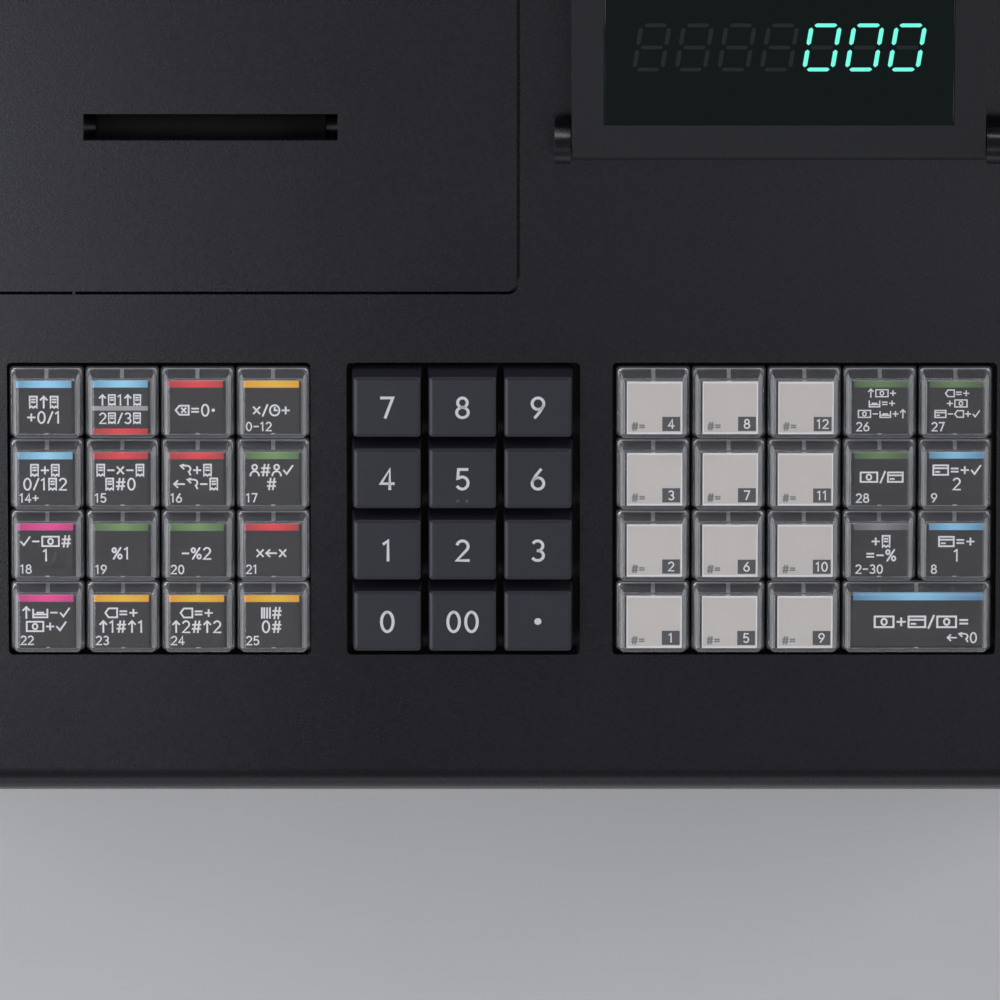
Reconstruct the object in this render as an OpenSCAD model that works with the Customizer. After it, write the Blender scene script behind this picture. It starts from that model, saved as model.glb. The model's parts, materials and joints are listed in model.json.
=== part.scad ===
// Ticket register: keyboard and printer head on a steel cash drawer. Millimetres.
// +Z up, the operator stands at -Y, origin at the middle of the footprint on the counter.

/* [Overall] */
// Depth of the whole register
depth = 346; // [330:1:380]
// Width of the head unit
head_w = 336; // [320:1:360]
// Step from the head's side to the cabinet's side
cabinet_step = 2; // [0:0.5:6]
// Gap left between the head's back and the cabinet's back
back_step = 8; // [4:1:20]
// Radius of the head's upright corners
corner_r = 14; // [8:1:20]

/* [Case] */
// Slope of the keyboard deck, in degrees
deck_tilt = 16; // [12:0.5:18]
// Height of the deck line above the head's base at the nose
nose_h = 44; // [40:1:56]
// Radius of the nose edge
nose_r = 8; // [5:0.5:12]
// Radius of the edge at the back
back_r = 8; // [5:0.5:12]
// Wall of both case halves
wall = 2.6; // [2:0.1:3.2]
// Height of the lower case
lower_h = 24; // [20:1:30]
// Radius of the screw pillars
pillar_r = 5; // [4.5:0.25:6]
// Inset of the screw pillars from the side walls
pillar_inset = 11; // [9:0.5:14]
// Inset of the screw pillars from the nose and the back
pillar_end = 20; // [17:0.5:24]
// Place of the middle screw pillars behind the head's middle
pillar_mid = 50; // [40:1:80]
// Radius of the screw shank
screw_r = 1.4; // [1:0.1:1.8]
// Radius of the screw head
screw_head_r = 3; // [2.4:0.1:3.4]
// Height of the screw head
screw_head_h = 2.6; // [2:0.1:3]
// Depth of the screw heads inside the lower case
screw_sink = 6; // [5:0.5:8]
// Height of the pads under the head
pad_h = 2; // [1:0.25:4]
// Radius of the pads under the head
pad_r = 8; // [6:0.5:12]

/* [Keyboard] */
// Distance between key centres
key_pitch = 19.05; // [18.4:0.05:19.8]
// Gap between neighbouring keys
key_gap = 1.15; // [0.8:0.05:1.6]
// Deck in front of the key windows, along the slope
front_margin = 36.5; // [30:0.5:40]
// Bar between the left and the number windows
left_bar = 9.1; // [6:0.1:11]
// Bar between the number and the right windows
right_bar = 8.2; // [6:0.1:11]
// Space beside the keys in the left window
left_margin = 0.2; // [0:0.05:1.5]
// Sideways shift of the left keys in their window
left_shift = 0.3; // [-0.3:0.05:0.3]
// Space beside the keys in the number window
number_margin = 0.9; // [0.5:0.05:1.8]
// Sideways shift of the number keys in their window
number_shift = -0.2; // [-0.3:0.05:0.3]
// Space beside the keys in the right window
right_margin = 0.9; // [0.5:0.05:1.8]
// Sideways shift of the right keys in their window
right_shift = -0.15; // [-0.3:0.05:0.3]
// Space before and behind the keys in every window
row_margin = 0.9; // [0.5:0.05:1.5]
// Sideways shift of the keyboard from the head's middle
keyboard_shift = 0.5; // [-4:0.5:4]
// Corner radius of the windows
window_r = 1.2; // [0.6:0.1:2]
// Wall of the skirt around each window
skirt_t = 1.6; // [1.2:0.1:2.4]
// Depth of the window skirts under the deck face
skirt_h = 6.5; // [6.3:0.1:7.5]

/* [Keys] */
// Travel of every key
key_travel = 3; // [2:0.1:3]
// Height of the clear caps above the deck
cap_rise = 5.2; // [4.6:0.1:7]
// Height of the number keys above the deck
number_rise = 4.4; // [3.8:0.1:6.5]
// Depth of the key skirts below the deck
key_skirt = 3.3; // [3:0.1:3.3]
// Height of the flange under the clear cap
flange_h = 2.8; // [1.2:0.1:3]
// Draw-in of the left and right of a clear cap towards its top
cap_draft_x = 0.65; // [0.3:0.05:1]
// Draw-in of the front and rear of a clear cap towards its top
cap_draft_y = 0.9; // [0.3:0.05:1]
// Wall of the clear caps
cap_wall = 0.8; // [0.7:0.05:1]
// Top thickness of the clear caps
cap_top = 0.9; // [0.7:0.05:1.4]
// Thickness of the legend cards
card_t = 0.2; // [0.15:0.05:0.4]
// Draw-in of each side of a number key towards its top
number_draft_x = 0.5; // [0.2:0.05:1]
// Draw-in of the front and rear of a number key towards its top
number_draft_y = 1; // [0.2:0.05:1.2]
// Width of the key stems
stem_w = 6; // [5:0.25:7]
// Width of the snap barb at each side of a stem
barb_w = 0.7; // [0.4:0.1:1]
// Height of the snap barbs
barb_h = 0.7; // [0.4:0.1:1]
// Thickness of the key frame
frame_t = 2.4; // [1.8:0.1:3]
// Margin of the key frame around the windows
frame_margin = 9; // [7:0.5:11]
// Height of the rubber domes
dome_h = 3.4; // [3.3:0.1:4]
// Radius of a dome at its foot
dome_r = 5.2; // [4:0.2:6]
// Radius of a dome at its top
dome_top_r = 2.6; // [2:0.2:3.2]
// Thickness of the dome mat
mat_t = 0.8; // [0.5:0.1:1.2]
// Thickness of the circuit boards
board_t = 1.6; // [1:0.1:2]

/* [Printer] */
// Right edge of the printer cover from the head's middle
cover_right = 4.2; // [0:0.2:8]
// Deck between the head's left side and the printer cover
cover_side = 18.2; // [15:0.2:34]
// Distance between the receipt slot and a full paper roll, along the slope
roll_gap = 8; // [6:0.5:12]
// Deck between the key windows and the printer cover
cover_front_bar = 18.9; // [17:0.1:21]
// Thickness of the printer cover
cover_t = 2.6; // [2:0.1:3.2]
// Gap around the printer cover
cover_gap = 0.8; // [0.6:0.1:1.2]
// Corner radius of the printer cover
cover_r = 2.5; // [2:0.25:6]
// Distance of the nib on the cover's front edge from its left side
nib_side = 42.4; // [20:0.2:60]
// Width of the nib that keeps the cover's front gap even
nib_w = 0.8; // [0.6:0.1:2]
// Width of the ledge that the cover lies on
ledge_w = 4; // [3:0.5:5]
// Radius of the cover's hinge barrels
barrel_r = 2.2; // [2:0.1:2.6]
// Length of the cover's hinge barrels
barrel_l = 14; // [10:1:20]
// Radius of the cover's hinge pins
cover_pin_r = 1.2; // [1:0.1:1.4]
// Inset of the hinge barrels from the cover's sides
barrel_inset = 16; // [12:1:24]
// Space between a full paper roll and the bay's rear
roll_rear = 4; // [2:0.5:6]
// Depth of the paper bay below the deck face
bay_depth = 72; // [70:1:73]
// Wall of the paper bay
bay_wall = 1.6; // [1.2:0.1:2]
// Width of the paper
paper_w = 58; // [44:1:80]
// Radius of a full paper roll
roll_r = 30; // [20:1:31]
// Radius of the paper roll's core
core_r = 6; // [5:0.5:9]
// Length of the receipt slot past each side of the paper
slot_side = 3; // [2:0.5:5]
// Width of the receipt slot
slot_w = 7; // [6:0.5:9]
// Receipt slot's distance behind the cover's front edge
slot_back = 40; // [36:1:44]
// Radius of the platen roller
platen_r = 5; // [4:0.25:6]

/* [Displays] */
// Space between the printer cover and the operator display
display_left = 13.8; // [11:0.2:20]
// Space between the operator display and the mode lock's collar
display_right = 14.3; // [9:0.2:20]
// Length of the operator display along the slope
display_l = 62; // [54:1:66]
// Operator display's pivot behind the key windows
display_back = 59.5; // [58:0.5:64]
// Lift of the display's face above the deck, in degrees
display_lift = 14; // [8:1:20]
// Radius of the display's front edge, around its pivot
display_r = 4; // [3.5:0.25:5]
// Gap between the deck and the operator display
display_gap = 0.6; // [0.4:0.1:1]
// Thickness of the ears that hold the display
ear_t = 4; // [3:0.5:5]
// Radius of the display's pivot pins
pivot_r = 2; // [1.5:0.1:2.4]
// Thickness of both display windows
lens_t = 1.5; // [1:0.25:2]
// Middle of the customer display from the head's right side
turret_side = 72; // [66:1:80]
// Radius of the customer display's stem
stem_r = 11; // [9:0.5:13]
// Height of the stem above the case
stem_h = 22; // [16:1:40]
// Width of the customer display
turret_w = 112; // [96:1:116]
// Height of the customer display
turret_h = 42; // [36:1:50]
// Depth of the customer display
turret_d = 24; // [20:1:30]
// Customer display's distance from the head's back
turret_back = 42; // [36:1:46]

/* [Mode lock] */
// Middle of the mode lock from the head's right side
lock_side = 22; // [21:0.5:24]
// Mode lock's distance behind the key windows
lock_back = 60; // [56:1:90]
// Radius of the turning plug
plug_r = 7; // [6:0.25:7.5]
// Wall of the lock's collar
collar_t = 2.4; // [2:0.1:3]
// Height of the lock's collar above the deck
collar_h = 3; // [2:0.25:5]
// Depth of the lock below the deck
lock_depth = 16; // [14:1:22]
// Width of the key's bow
bow_w = 20; // [16:1:22]
// Height of the key's bow
bow_h = 17; // [14:1:24]
// Thickness of the key
bow_t = 2.2; // [1.6:0.1:2.6]

/* [Cash drawer] */
// Height of the steel cabinet
cabinet_h = 88; // [84:1:100]
// Sheet thickness of the cabinet and the drawer
sheet = 1.2; // [0.8:0.1:1.5]
// Height of the rubber feet
foot_h = 8; // [5:0.5:12]
// Radius of the rubber feet
foot_r = 10; // [8:0.5:14]
// Inset of the feet from the cabinet's sides
foot_inset = 30; // [20:1:40]
// Thickness of the drawer front
front_t = 11; // [8:0.5:14]
// Set-back of the drawer front from the head's nose
front_setback = 2; // [0:0.5:6]
// Gap around the drawer front
front_gap = 1.5; // [1:0.25:3]
// Space for the runners at each side of the drawer
runner_space = 12; // [11.5:0.25:14]
// Inner height of the runner channels
channel_h = 17; // [15:0.5:20]
// Thickness of the runner flanges
flange_t = 1; // [0.8:0.1:1.4]
// Thickness of the runner wheels
wheel_t = 3.8; // [3:0.1:4]
// Radius of the wheel pins
wheel_pin_r = 2.5; // [2:0.25:3]
// Travel of the drawer
drawer_travel = 280; // [200:5:280]
// Height of the drawer above the cabinet's floor
drawer_lift = 5; // [3:0.5:7]
// Height of the drawer's sides
drawer_h = 70; // [64:1:72]
// Distance between the screw holes in the cabinet's floor, across
bolt_x = 240; // [160:5:260]
// Distance between the screw holes in the cabinet's floor, front to back
bolt_y = 200; // [120:5:220]
// Radius of the screw holes in the cabinet's floor
bolt_r = 2.25; // [1.5:0.25:3]

/* [Till tray] */
// Height of the tray
tray_h = 54; // [46:1:60]
// Wall of the tray
tray_t = 2; // [1.6:0.1:2.6]
// Number of bins and coin columns
columns = 4; // [3:1:6]
// Length of the banknote bins
bin_l = 160; // [150:1:170]
// Depth of the coin cups
cup_depth = 34; // [26:1:38]
// Wall of the coin cups
cup_t = 1.6; // [1.2:0.1:2]
// Radius of the scoops in the coin cups
scoop_r = 10; // [8:1:12]

/* [Hidden] */
$fn = 48;
// Clearance where pieces move or slip together, and between pieces that only meet
fit = 0.3;
seam = 0.1;
cut = 1;

// Heights of the drawer, the head and the deck
cabinet_w = head_w + 2 * cabinet_step;
cabinet_z = foot_h;
cabinet_top = cabinet_z + cabinet_h;
head_z = cabinet_top + pad_h;
split_z = head_z + lower_h;
nose_y = -depth / 2;
back_y = depth / 2 - back_step;
deck_front_z = head_z + nose_h;

// Places along the deck's slope, from the nose
key_rows = 4;
window_l = key_rows * key_pitch + 2 * row_margin;
window_s0 = front_margin;
window_s1 = window_s0 + window_l;
cover_s0 = window_s1 + cover_front_bar;
slot_s = cover_s0 + slot_back;
roll_s = slot_s + slot_w + roll_gap + roll_r;
cover_s1 = roll_s + roll_r + roll_rear + ledge_w;
cover_l = cover_s1 - cover_s0;
hinge_s = cover_s1 + fit + barrel_r + fit;
ridge_s = hinge_s + barrel_r + fit + 2;
plateau_z = deck_front_z + ridge_s * sin(deck_tilt);

// Windows: left edge and width of each, from left to right
left_w = 4 * key_pitch + 2 * left_margin;
number_w = 3 * key_pitch + 2 * number_margin;
right_w = 5 * key_pitch + 2 * right_margin;
keyboard_w = left_w + left_bar + number_w + right_bar + right_w;
left_x0 = keyboard_shift - keyboard_w / 2;
number_x0 = left_x0 + left_w + left_bar;
right_x0 = number_x0 + number_w + right_bar;
windows = [[left_x0, left_w], [number_x0, number_w], [right_x0, right_w]];

// Key centres: column c counts from the left, row r from the rear
function left_col(c) = left_x0 + left_margin + left_shift + (c + 0.5) * key_pitch;
function number_col(c) = number_x0 + number_margin + number_shift + (c + 0.5) * key_pitch;
function right_col(c) = right_x0 + right_margin + right_shift + (c + 0.5) * key_pitch;
function row_s(r) = window_s1 - row_margin - (r + 0.5) * key_pitch;

// Every key as [name, x, s, width in pitches]
number_names = [["7", "8", "9"], ["4", "5", "6"], ["1", "2", "3"], ["0", "00", "point"]];
function_keys = [for (r = [0:3]) for (c = [0:3])
    [str("function_key_", r + 1, "_", c + 1), left_col(c), row_s(r), 1]];
number_keys = [for (r = [0:3]) for (c = [0:2])
    [str("number_key_", number_names[r][c]), number_col(c), row_s(r), 1]];
preset_keys = [for (r = [0:3]) for (c = [0:2])
    [str("preset_key_", key_rows - r + key_rows * c), right_col(c), row_s(r), 1]];
tender_keys = [for (r = [0:2]) for (c = [0:1])
    [str("tender_key_", r + 1, "_", c + 1), right_col(3 + c), row_s(r), 1]];
total_key = ["total_key", (right_col(3) + right_col(4)) / 2, row_s(3), 2];
card_keys = concat(function_keys, preset_keys, tender_keys, [total_key]);
stem_places = [for (k = concat(card_keys, number_keys)) for (i = [0:k[3] - 1])
    [k[1] + (i - (k[3] - 1) / 2) * key_pitch, k[2]]];

// Depths below the deck face
frame_top = -skirt_h - seam;
frame_bottom = frame_top - frame_t;
stem_bottom = frame_bottom - seam - barb_h;
mat_top = stem_bottom - fit - dome_h;
mat_bottom = mat_top - mat_t;
board_top = mat_bottom - seam;

// Printer
cover_w = cover_right + head_w / 2 - cover_side;
cover_x = cover_right - cover_w / 2;
ledge_z = -cover_t - fit;
ledge_t = 2.6;
bay_w = cover_w - ledge_w;
bay_l = cover_l - ledge_w;
bay_top = ledge_z - ledge_t - seam;
roll_x = cover_x;
roll_n = -bay_depth + bay_wall + 2 + roll_r;
spindle_r = core_r - fit;
platen_n = bay_top - platen_r - 3;

// Lock and displays
lock_x = head_w / 2 - lock_side;
display_x0 = cover_right + display_left;
display_x1 = lock_x - plug_r - fit - collar_t - display_right;
display_w = display_x1 - display_x0;
display_x = (display_x0 + display_x1) / 2;
turret_x = head_w / 2 - turret_side;

// Drawer
drawer_w = cabinet_w - 2 * sheet - 2 * runner_space;
front_y = nose_y + front_setback;
cabinet_y0 = front_y + front_t + fit;
cabinet_y1 = depth / 2;
drawer_z = cabinet_z + sheet + drawer_lift;
drawer_y0 = front_y + front_t + seam;
ejector_space = 23;
ejector_gap = 4;
ejector_w = 48;
ejector_h = 34.8;
drawer_y1 = cabinet_y1 - ejector_space;
channel_z = drawer_z + drawer_h / 2;
wheel_r = channel_h / 2 - fit;
cabinet_wheel_y = cabinet_y0 + wheel_r + 1;
drawer_wheel_y = drawer_y1 - wheel_r;
inner_x = cabinet_w / 2 - sheet;
drawer_x = drawer_w / 2;
tray_w = drawer_w - 2 * sheet - 2;
tray_y0 = drawer_y0 + 2;
tray_y1 = drawer_y1 - sheet - 1;
tray_z = drawer_z + sheet + seam;
cup_l = tray_y1 - tray_y0 - bin_l - 3 * tray_t;
column_w = (tray_w - (columns + 1) * tray_t) / columns;
bin_y1 = tray_y1 - tray_t;
cup_y0 = tray_y0 + tray_t;
cup_rows = 2;
cup_pitch_x = (tray_w - 2 * tray_t) / columns;
cup_pitch_y = cup_l / cup_rows;

fixed_nodes = ["upper_case", "lower_case", "key_frame", "dome_mat", "printer_cover",
    "printer_mechanism", "paper_roll", "operator_display", "customer_display", "mode_key",
    "drawer_cabinet", "cash_drawer", "till_tray"];

// ---- shapes used by several pieces ----

// Local x across, y up the slope from the nose, z out of the deck
module on_deck() {
    translate([0, nose_y, deck_front_z]) rotate([deck_tilt, 0, 0]) children();
}

// Rectangle with round corners, centred
module round_rect(w, l, r) {
    square([w - 2 * r, l], center = true);
    square([w, l - 2 * r], center = true);
    for (x = [-1, 1]) for (y = [-1, 1])
        translate([x * (w / 2 - r), y * (l / 2 - r)]) circle(r);
}

// Upright prism of a round rectangle between two heights
module round_block(w, l, r, z0, z1) {
    translate([0, 0, z0]) linear_extrude(z1 - z0) round_rect(w, l, r);
}

// Block between two corners
module block(a, b) {
    translate(a) cube(b - a);
}

// Four-sided taper from a lower to an upper rectangle
module frustum(bottom, top, z0, z1) {
    corners = [[-0.5, -0.5], [0.5, -0.5], [0.5, 0.5], [-0.5, 0.5]];
    polyhedron(
        points = concat(
            [for (p = corners) [p.x * bottom.x, p.y * bottom.y, z0]],
            [for (p = corners) [p.x * top.x, p.y * top.y, z1]]),
        faces = [[0, 1, 2, 3], [7, 6, 5, 4], [0, 4, 5, 1], [1, 5, 6, 2], [2, 6, 7, 3], [3, 7, 4, 0]]);
}

// Cylinder along X between two places
module x_rod(x0, x1, y, z, r) {
    translate([x0, y, z]) rotate([0, 90, 0]) cylinder(r = r, h = x1 - x0);
}

// Profile drawn as (Y, Z), carried across X
module across(w) {
    rotate([90, 0, 90]) linear_extrude(w, center = true) children();
}

// ---- case ----

// Side outline of the head: nose, sloping deck, level top, back
module head_profile(inset, base_z) {
    y0 = nose_y + inset;
    y1 = back_y - inset;
    top = plateau_z - inset;
    r = nose_r - inset;
    rb = back_r - inset;
    nose_c = [y0 + r, deck_front_z + (r + inset) * tan(deck_tilt) - (r + inset) / cos(deck_tilt)];
    nose_t = nose_c + r * [-sin(deck_tilt), cos(deck_tilt)];
    ridge_y = nose_t.x + (top - nose_t.y) / tan(deck_tilt);
    polygon([[y0, base_z], [y0, nose_c.y], nose_t, [ridge_y, top], [y1 - rb, top], [y1, top - rb],
        [y1, base_z]]);
    translate(nose_c) circle(r);
    translate([y1 - rb, top - rb]) circle(rb);
}

// The head as a solid, drawn in by an inset on every side
module head_solid(inset, base_z) {
    intersection() {
        across(head_w - 2 * inset) head_profile(inset, base_z);
        head_plan(inset, base_z - cut, plateau_z + cut);
    }
}

module head_plan(inset, z0, z1) {
    translate([0, (nose_y + back_y) / 2, 0])
        round_block(head_w - 2 * inset, back_y - nose_y - 2 * inset, corner_r - inset, z0, z1);
}

module at_pillars() {
    for (x = [-1, 1]) for (y = [nose_y + pillar_end, pillar_mid, back_y - pillar_end])
        translate([x * (head_w / 2 - pillar_inset), y, 0]) children();
}

module cover_ring() {
    on_deck() translate([cover_x, (cover_s0 + cover_s1) / 2, 0])
        round_block(cover_w + 2 * cover_gap + 2 * wall, cover_l + 2 * cover_gap + 2 * wall,
            cover_r + cover_gap + wall, ledge_z - ledge_t, -wall / 2);
}

module cover_cuts() {
    on_deck() translate([cover_x, (cover_s0 + cover_s1) / 2, 0]) {
        round_block(cover_w + 2 * cover_gap, cover_l + 2 * cover_gap, cover_r + cover_gap, ledge_z, cut);
        round_block(cover_w - 2 * ledge_w, cover_l - 2 * ledge_w, cover_r, ledge_z - ledge_t - cut, cut);
    }
}

// Middle of each hinge barrel across the cover
function barrel_x(side) = cover_x + side * (cover_w / 2 - barrel_inset);

module hinge_ears() {
    on_deck() for (side = [-1, 1]) for (end = [-1, 1])
        translate([barrel_x(side) + end * (barrel_l / 2 + fit + wall / 2), 0, 0]) hinge_ear();
}

module hinge_ear() {
    rotate([90, 0, 90]) linear_extrude(wall, center = true) {
        translate([hinge_s, 0]) circle(barrel_r + fit);
        translate([hinge_s - barrel_r - fit, -wall / 2]) square([2 * (barrel_r + fit), wall / 2]);
    }
}

module hinge_cuts() {
    on_deck() for (side = [-1, 1]) {
        x0 = barrel_x(side) - barrel_l / 2;
        block([x0 - fit, cover_s1 - cut, -barrel_r - fit],
            [x0 + barrel_l + fit, hinge_s + barrel_r + fit, cut * 4]);
        x_rod(x0 - fit - wall, x0 + barrel_l + fit + wall, hinge_s, 0, cover_pin_r + fit);
    }
}

// Ears at both sides of the operator display
display_s = window_s1 + display_back;
display_n = display_r + display_gap;
module display_ears() {
    on_deck() for (side = [-1, 1])
        translate([display_x + side * (display_w / 2 + fit + ear_t / 2), 0, 0])
            rotate([90, 0, 90]) linear_extrude(ear_t, center = true) {
                translate([display_s, display_n]) circle(display_r + 1);
                translate([display_s - display_r - 1, -wall / 2])
                    square([2 * (display_r + 1), display_n + wall / 2]);
            }
}

module display_pivot_holes() {
    on_deck() x_rod(display_x - display_w / 2 - ear_t - cut, display_x + display_w / 2 + ear_t + cut,
        display_s, display_n, pivot_r + fit);
}

turret_y = back_y - turret_back;
socket_h = 18;
vents = 12;
vent_x = -110;
vent_pitch = 7;
vent_w = 3;
vent_h = 28;
vent_drop = 50;
module upper_case() {
    color([0.16, 0.165, 0.18]) difference() {
        union() {
            difference() {
                head_solid(0, split_z);
                head_solid(wall, split_z - cut);
            }
            on_deck() for (w = windows)
                translate([w[0] + w[1] / 2, (window_s0 + window_s1) / 2, 0])
                    round_block(w[1] + 2 * skirt_t, window_l + 2 * skirt_t, window_r + skirt_t,
                        -skirt_h, -wall / 2);
            cover_ring();
            hinge_ears();
            display_ears();
            on_deck() translate([lock_x, window_s1 + lock_back, -lock_depth + 2])
                cylinder(r = plug_r + fit + collar_t, h = lock_depth - 2 + collar_h);
            translate([turret_x, turret_y, plateau_z - socket_h])
                cylinder(r = stem_r + fit + wall, h = socket_h - wall / 2);
            intersection() {
                at_pillars() translate([0, 0, split_z]) cylinder(r = pillar_r, h = plateau_z - split_z);
                head_solid(wall / 2, split_z);
            }
        }
        on_deck() for (w = windows)
            translate([w[0] + w[1] / 2, (window_s0 + window_s1) / 2, 0])
                round_block(w[1], window_l, window_r, -skirt_h - cut, cut);
        cover_cuts();
        hinge_cuts();
        display_pivot_holes();
        on_deck() translate([lock_x, window_s1 + lock_back, -lock_depth - cut])
            cylinder(r = plug_r + fit, h = lock_depth + collar_h + 2 * cut);
        translate([turret_x, turret_y, plateau_z - socket_h - cut])
            cylinder(r = stem_r + fit, h = socket_h + 2 * cut);
        at_pillars() translate([0, 0, split_z - cut]) cylinder(r = screw_r + seam, h = 12 + cut);
        for (i = [0:vents - 1])
            translate([vent_x + i * vent_pitch, back_y - wall - cut, plateau_z - vent_drop])
                cube([vent_w, wall + 2 * cut, vent_h]);
    }
}

// Mains inlet in the back of the lower case
inlet_side = 48;
inlet_x = head_w / 2 - inlet_side;
inlet_w = 24;
inlet_h = 14;
inlet_d = 14;
inlet_z = head_z + lower_h / 2;
inlet_mouth_w = 17;
inlet_mouth_h = 9;
inlet_back_t = 2;
module inlet_block(grow, y0, y1) {
    block([inlet_x - inlet_w / 2 - grow, y0, inlet_z - inlet_h / 2 - grow],
        [inlet_x + inlet_w / 2 + grow, y1, inlet_z + inlet_h / 2 + grow]);
}

module mains_inlet() {
    difference() {
        inlet_block(0, back_y - inlet_d, back_y + 0.5);
        block([inlet_x - inlet_mouth_w / 2, back_y - inlet_d + inlet_back_t, inlet_z - inlet_mouth_h / 2],
            [inlet_x + inlet_mouth_w / 2, back_y + cut, inlet_z + inlet_mouth_h / 2]);
    }
    for (x = [-1, 1]) translate([inlet_x + x * 4.3, back_y - 3, inlet_z]) rotate([90, 0, 0])
        cylinder(r = 1.2, h = inlet_d - 4);
}

// Circuit board and power supply on the floor of the lower case, pads under it
pad_inset = 50;
post_h = 4;
post_r = 3;
post_inset = 8;
board_side = 58;
board_front = 32;
board_l = 108;
supply_w = 70;
supply_l = 60;
supply_h = 37;
supply_side = 68;
supply_back = 60;
board_x = head_w / 2 - board_side;
board_y0 = nose_y + board_front;
board_y1 = board_y0 + board_l;
module board_posts(r, z0, z1) {
    for (x = [-1, 1]) for (y = [board_y0 + post_inset, board_y1 - post_inset])
        translate([x * (board_x - post_inset), y, z0]) cylinder(r = r, h = z1 - z0);
}

module power_supply(z) {
    translate([head_w / 2 - supply_side - supply_w, back_y - supply_back - supply_l, z])
        cube([supply_w, supply_l, supply_h]);
}

module lower_case() {
    floor_z = head_z + wall;
    color([0.15, 0.155, 0.165]) difference() {
        union() {
            difference() {
                head_plan(0, head_z, split_z);
                head_plan(wall, floor_z, split_z + cut);
            }
            at_pillars() translate([0, 0, head_z]) cylinder(r = pillar_r, h = lower_h);
            board_posts(post_r, head_z + wall / 2, floor_z + post_h);
        }
        inlet_block(seam, back_y - wall - cut, back_y + cut);
        at_pillars() {
            translate([0, 0, head_z - cut]) cylinder(r = screw_r + fit, h = lower_h + 2 * cut);
            translate([0, 0, head_z - cut]) cylinder(r = screw_head_r + fit, h = screw_sink + cut);
        }
    }
    color([0.7, 0.7, 0.72]) at_pillars() {
        translate([0, 0, head_z + screw_sink - seam - screw_head_h])
            cylinder(r = screw_head_r, h = screw_head_h);
        translate([0, 0, head_z + screw_sink - seam - cut])
            cylinder(r = screw_r, h = lower_h - screw_sink + 9);
    }
    color([0.1, 0.1, 0.1]) {
        mains_inlet();
        for (x = [-1, 1]) for (y = [nose_y + pad_inset, back_y - pad_inset])
            translate([x * (head_w / 2 - pad_inset), y, cabinet_top]) cylinder(r = pad_r, h = pad_h - seam);
    }
    color([0.1, 0.35, 0.2])
        block([-board_x, board_y0, floor_z + post_h + seam],
            [board_x, board_y1, floor_z + post_h + seam + board_t]);
    color([0.6, 0.6, 0.6]) power_supply(floor_z + seam);
}

// ---- keyboard ----

frame_x0 = left_x0 - frame_margin;
frame_x1 = right_x0 + right_w + frame_margin;
frame_s0 = window_s0 - frame_margin;
frame_s1 = window_s1 + frame_margin;
mat_inset = 7;
leg_inset = 3;
leg_r = 2.6;
module key_frame() {
    color([0.12, 0.12, 0.13]) on_deck() {
        translate([0, 0, frame_bottom]) linear_extrude(frame_t) difference() {
            translate([frame_x0, frame_s0]) square([frame_x1 - frame_x0, frame_s1 - frame_s0]);
            for (p = stem_places) translate(p) square(stem_w + 2 * fit, center = true);
        }
        for (x = [frame_x0 + leg_inset, (frame_x0 + frame_x1) / 2, frame_x1 - leg_inset])
            for (s = [frame_s0 + leg_inset, frame_s1 - leg_inset])
                translate([x, s, board_top + seam]) cylinder(r = leg_r, h = frame_bottom - board_top);
    }
    color([0.1, 0.35, 0.2]) on_deck()
        block([frame_x0, frame_s0, board_top - board_t], [frame_x1, frame_s1, board_top]);
}

module dome_mat() {
    color([0.75, 0.76, 0.78]) on_deck() {
        block([frame_x0 + mat_inset, frame_s0 + mat_inset, mat_bottom],
            [frame_x1 - mat_inset, frame_s1 - mat_inset, mat_top]);
        for (p = stem_places) translate([p.x, p.y, mat_top - mat_t / 2])
            cylinder(r1 = dome_r, r2 = dome_top_r, h = dome_h + mat_t / 2);
    }
}

// Stems with snap barbs under a key of a given width in pitches
module stems(span, top) {
    for (i = [0:span - 1]) translate([(i - (span - 1) / 2) * key_pitch, 0, 0]) {
        block([-stem_w / 2, -stem_w / 2, stem_bottom], [stem_w / 2, stem_w / 2, top]);
        block([-stem_w / 2 - barb_w, -stem_w / 4, stem_bottom],
            [stem_w / 2 + barb_w, stem_w / 4, stem_bottom + barb_h]);
    }
}

// Key with a loose legend card under a clear cap
module card_key(x, s, span) {
    foot = [span * key_pitch - key_gap, key_pitch - key_gap];
    top = foot - 2 * [cap_draft_x, cap_draft_y];
    wall_in = 2 * cap_wall * [1, 1];
    play = 2 * seam * [1, 1];
    flange_z = -key_skirt + flange_h;
    card_z = cap_rise - cap_top - seam - card_t;
    card = top - wall_in - 2 * play;
    on_deck() translate([x, s, 0]) {
        color([0.12, 0.12, 0.13]) {
            block([-foot.x / 2, -foot.y / 2, -key_skirt], [foot.x / 2, foot.y / 2, flange_z]);
            frustum(foot - wall_in - play, top - wall_in - play, flange_z - seam, card_z - seam);
            stems(span, -key_skirt + seam);
        }
        color([0.8, 0.78, 0.75]) translate([0, 0, card_z + card_t / 2])
            cube([card.x, card.y, card_t], center = true);
        color([0.75, 0.8, 0.85, 0.5]) difference() {
            frustum(foot, top, flange_z + seam, cap_rise);
            frustum(foot - wall_in, top - wall_in, flange_z, cap_rise - cap_top);
        }
    }
}

// Plain key that ends in a flat top
module number_key(x, s) {
    w = key_pitch - key_gap;
    on_deck() translate([x, s, 0]) color([0.19, 0.19, 0.21]) {
        frustum([w, w], [w - 2 * number_draft_x, w - 2 * number_draft_y], -key_skirt, number_rise);
        stems(1, -key_skirt + seam);
    }
}

// ---- printer ----

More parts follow.
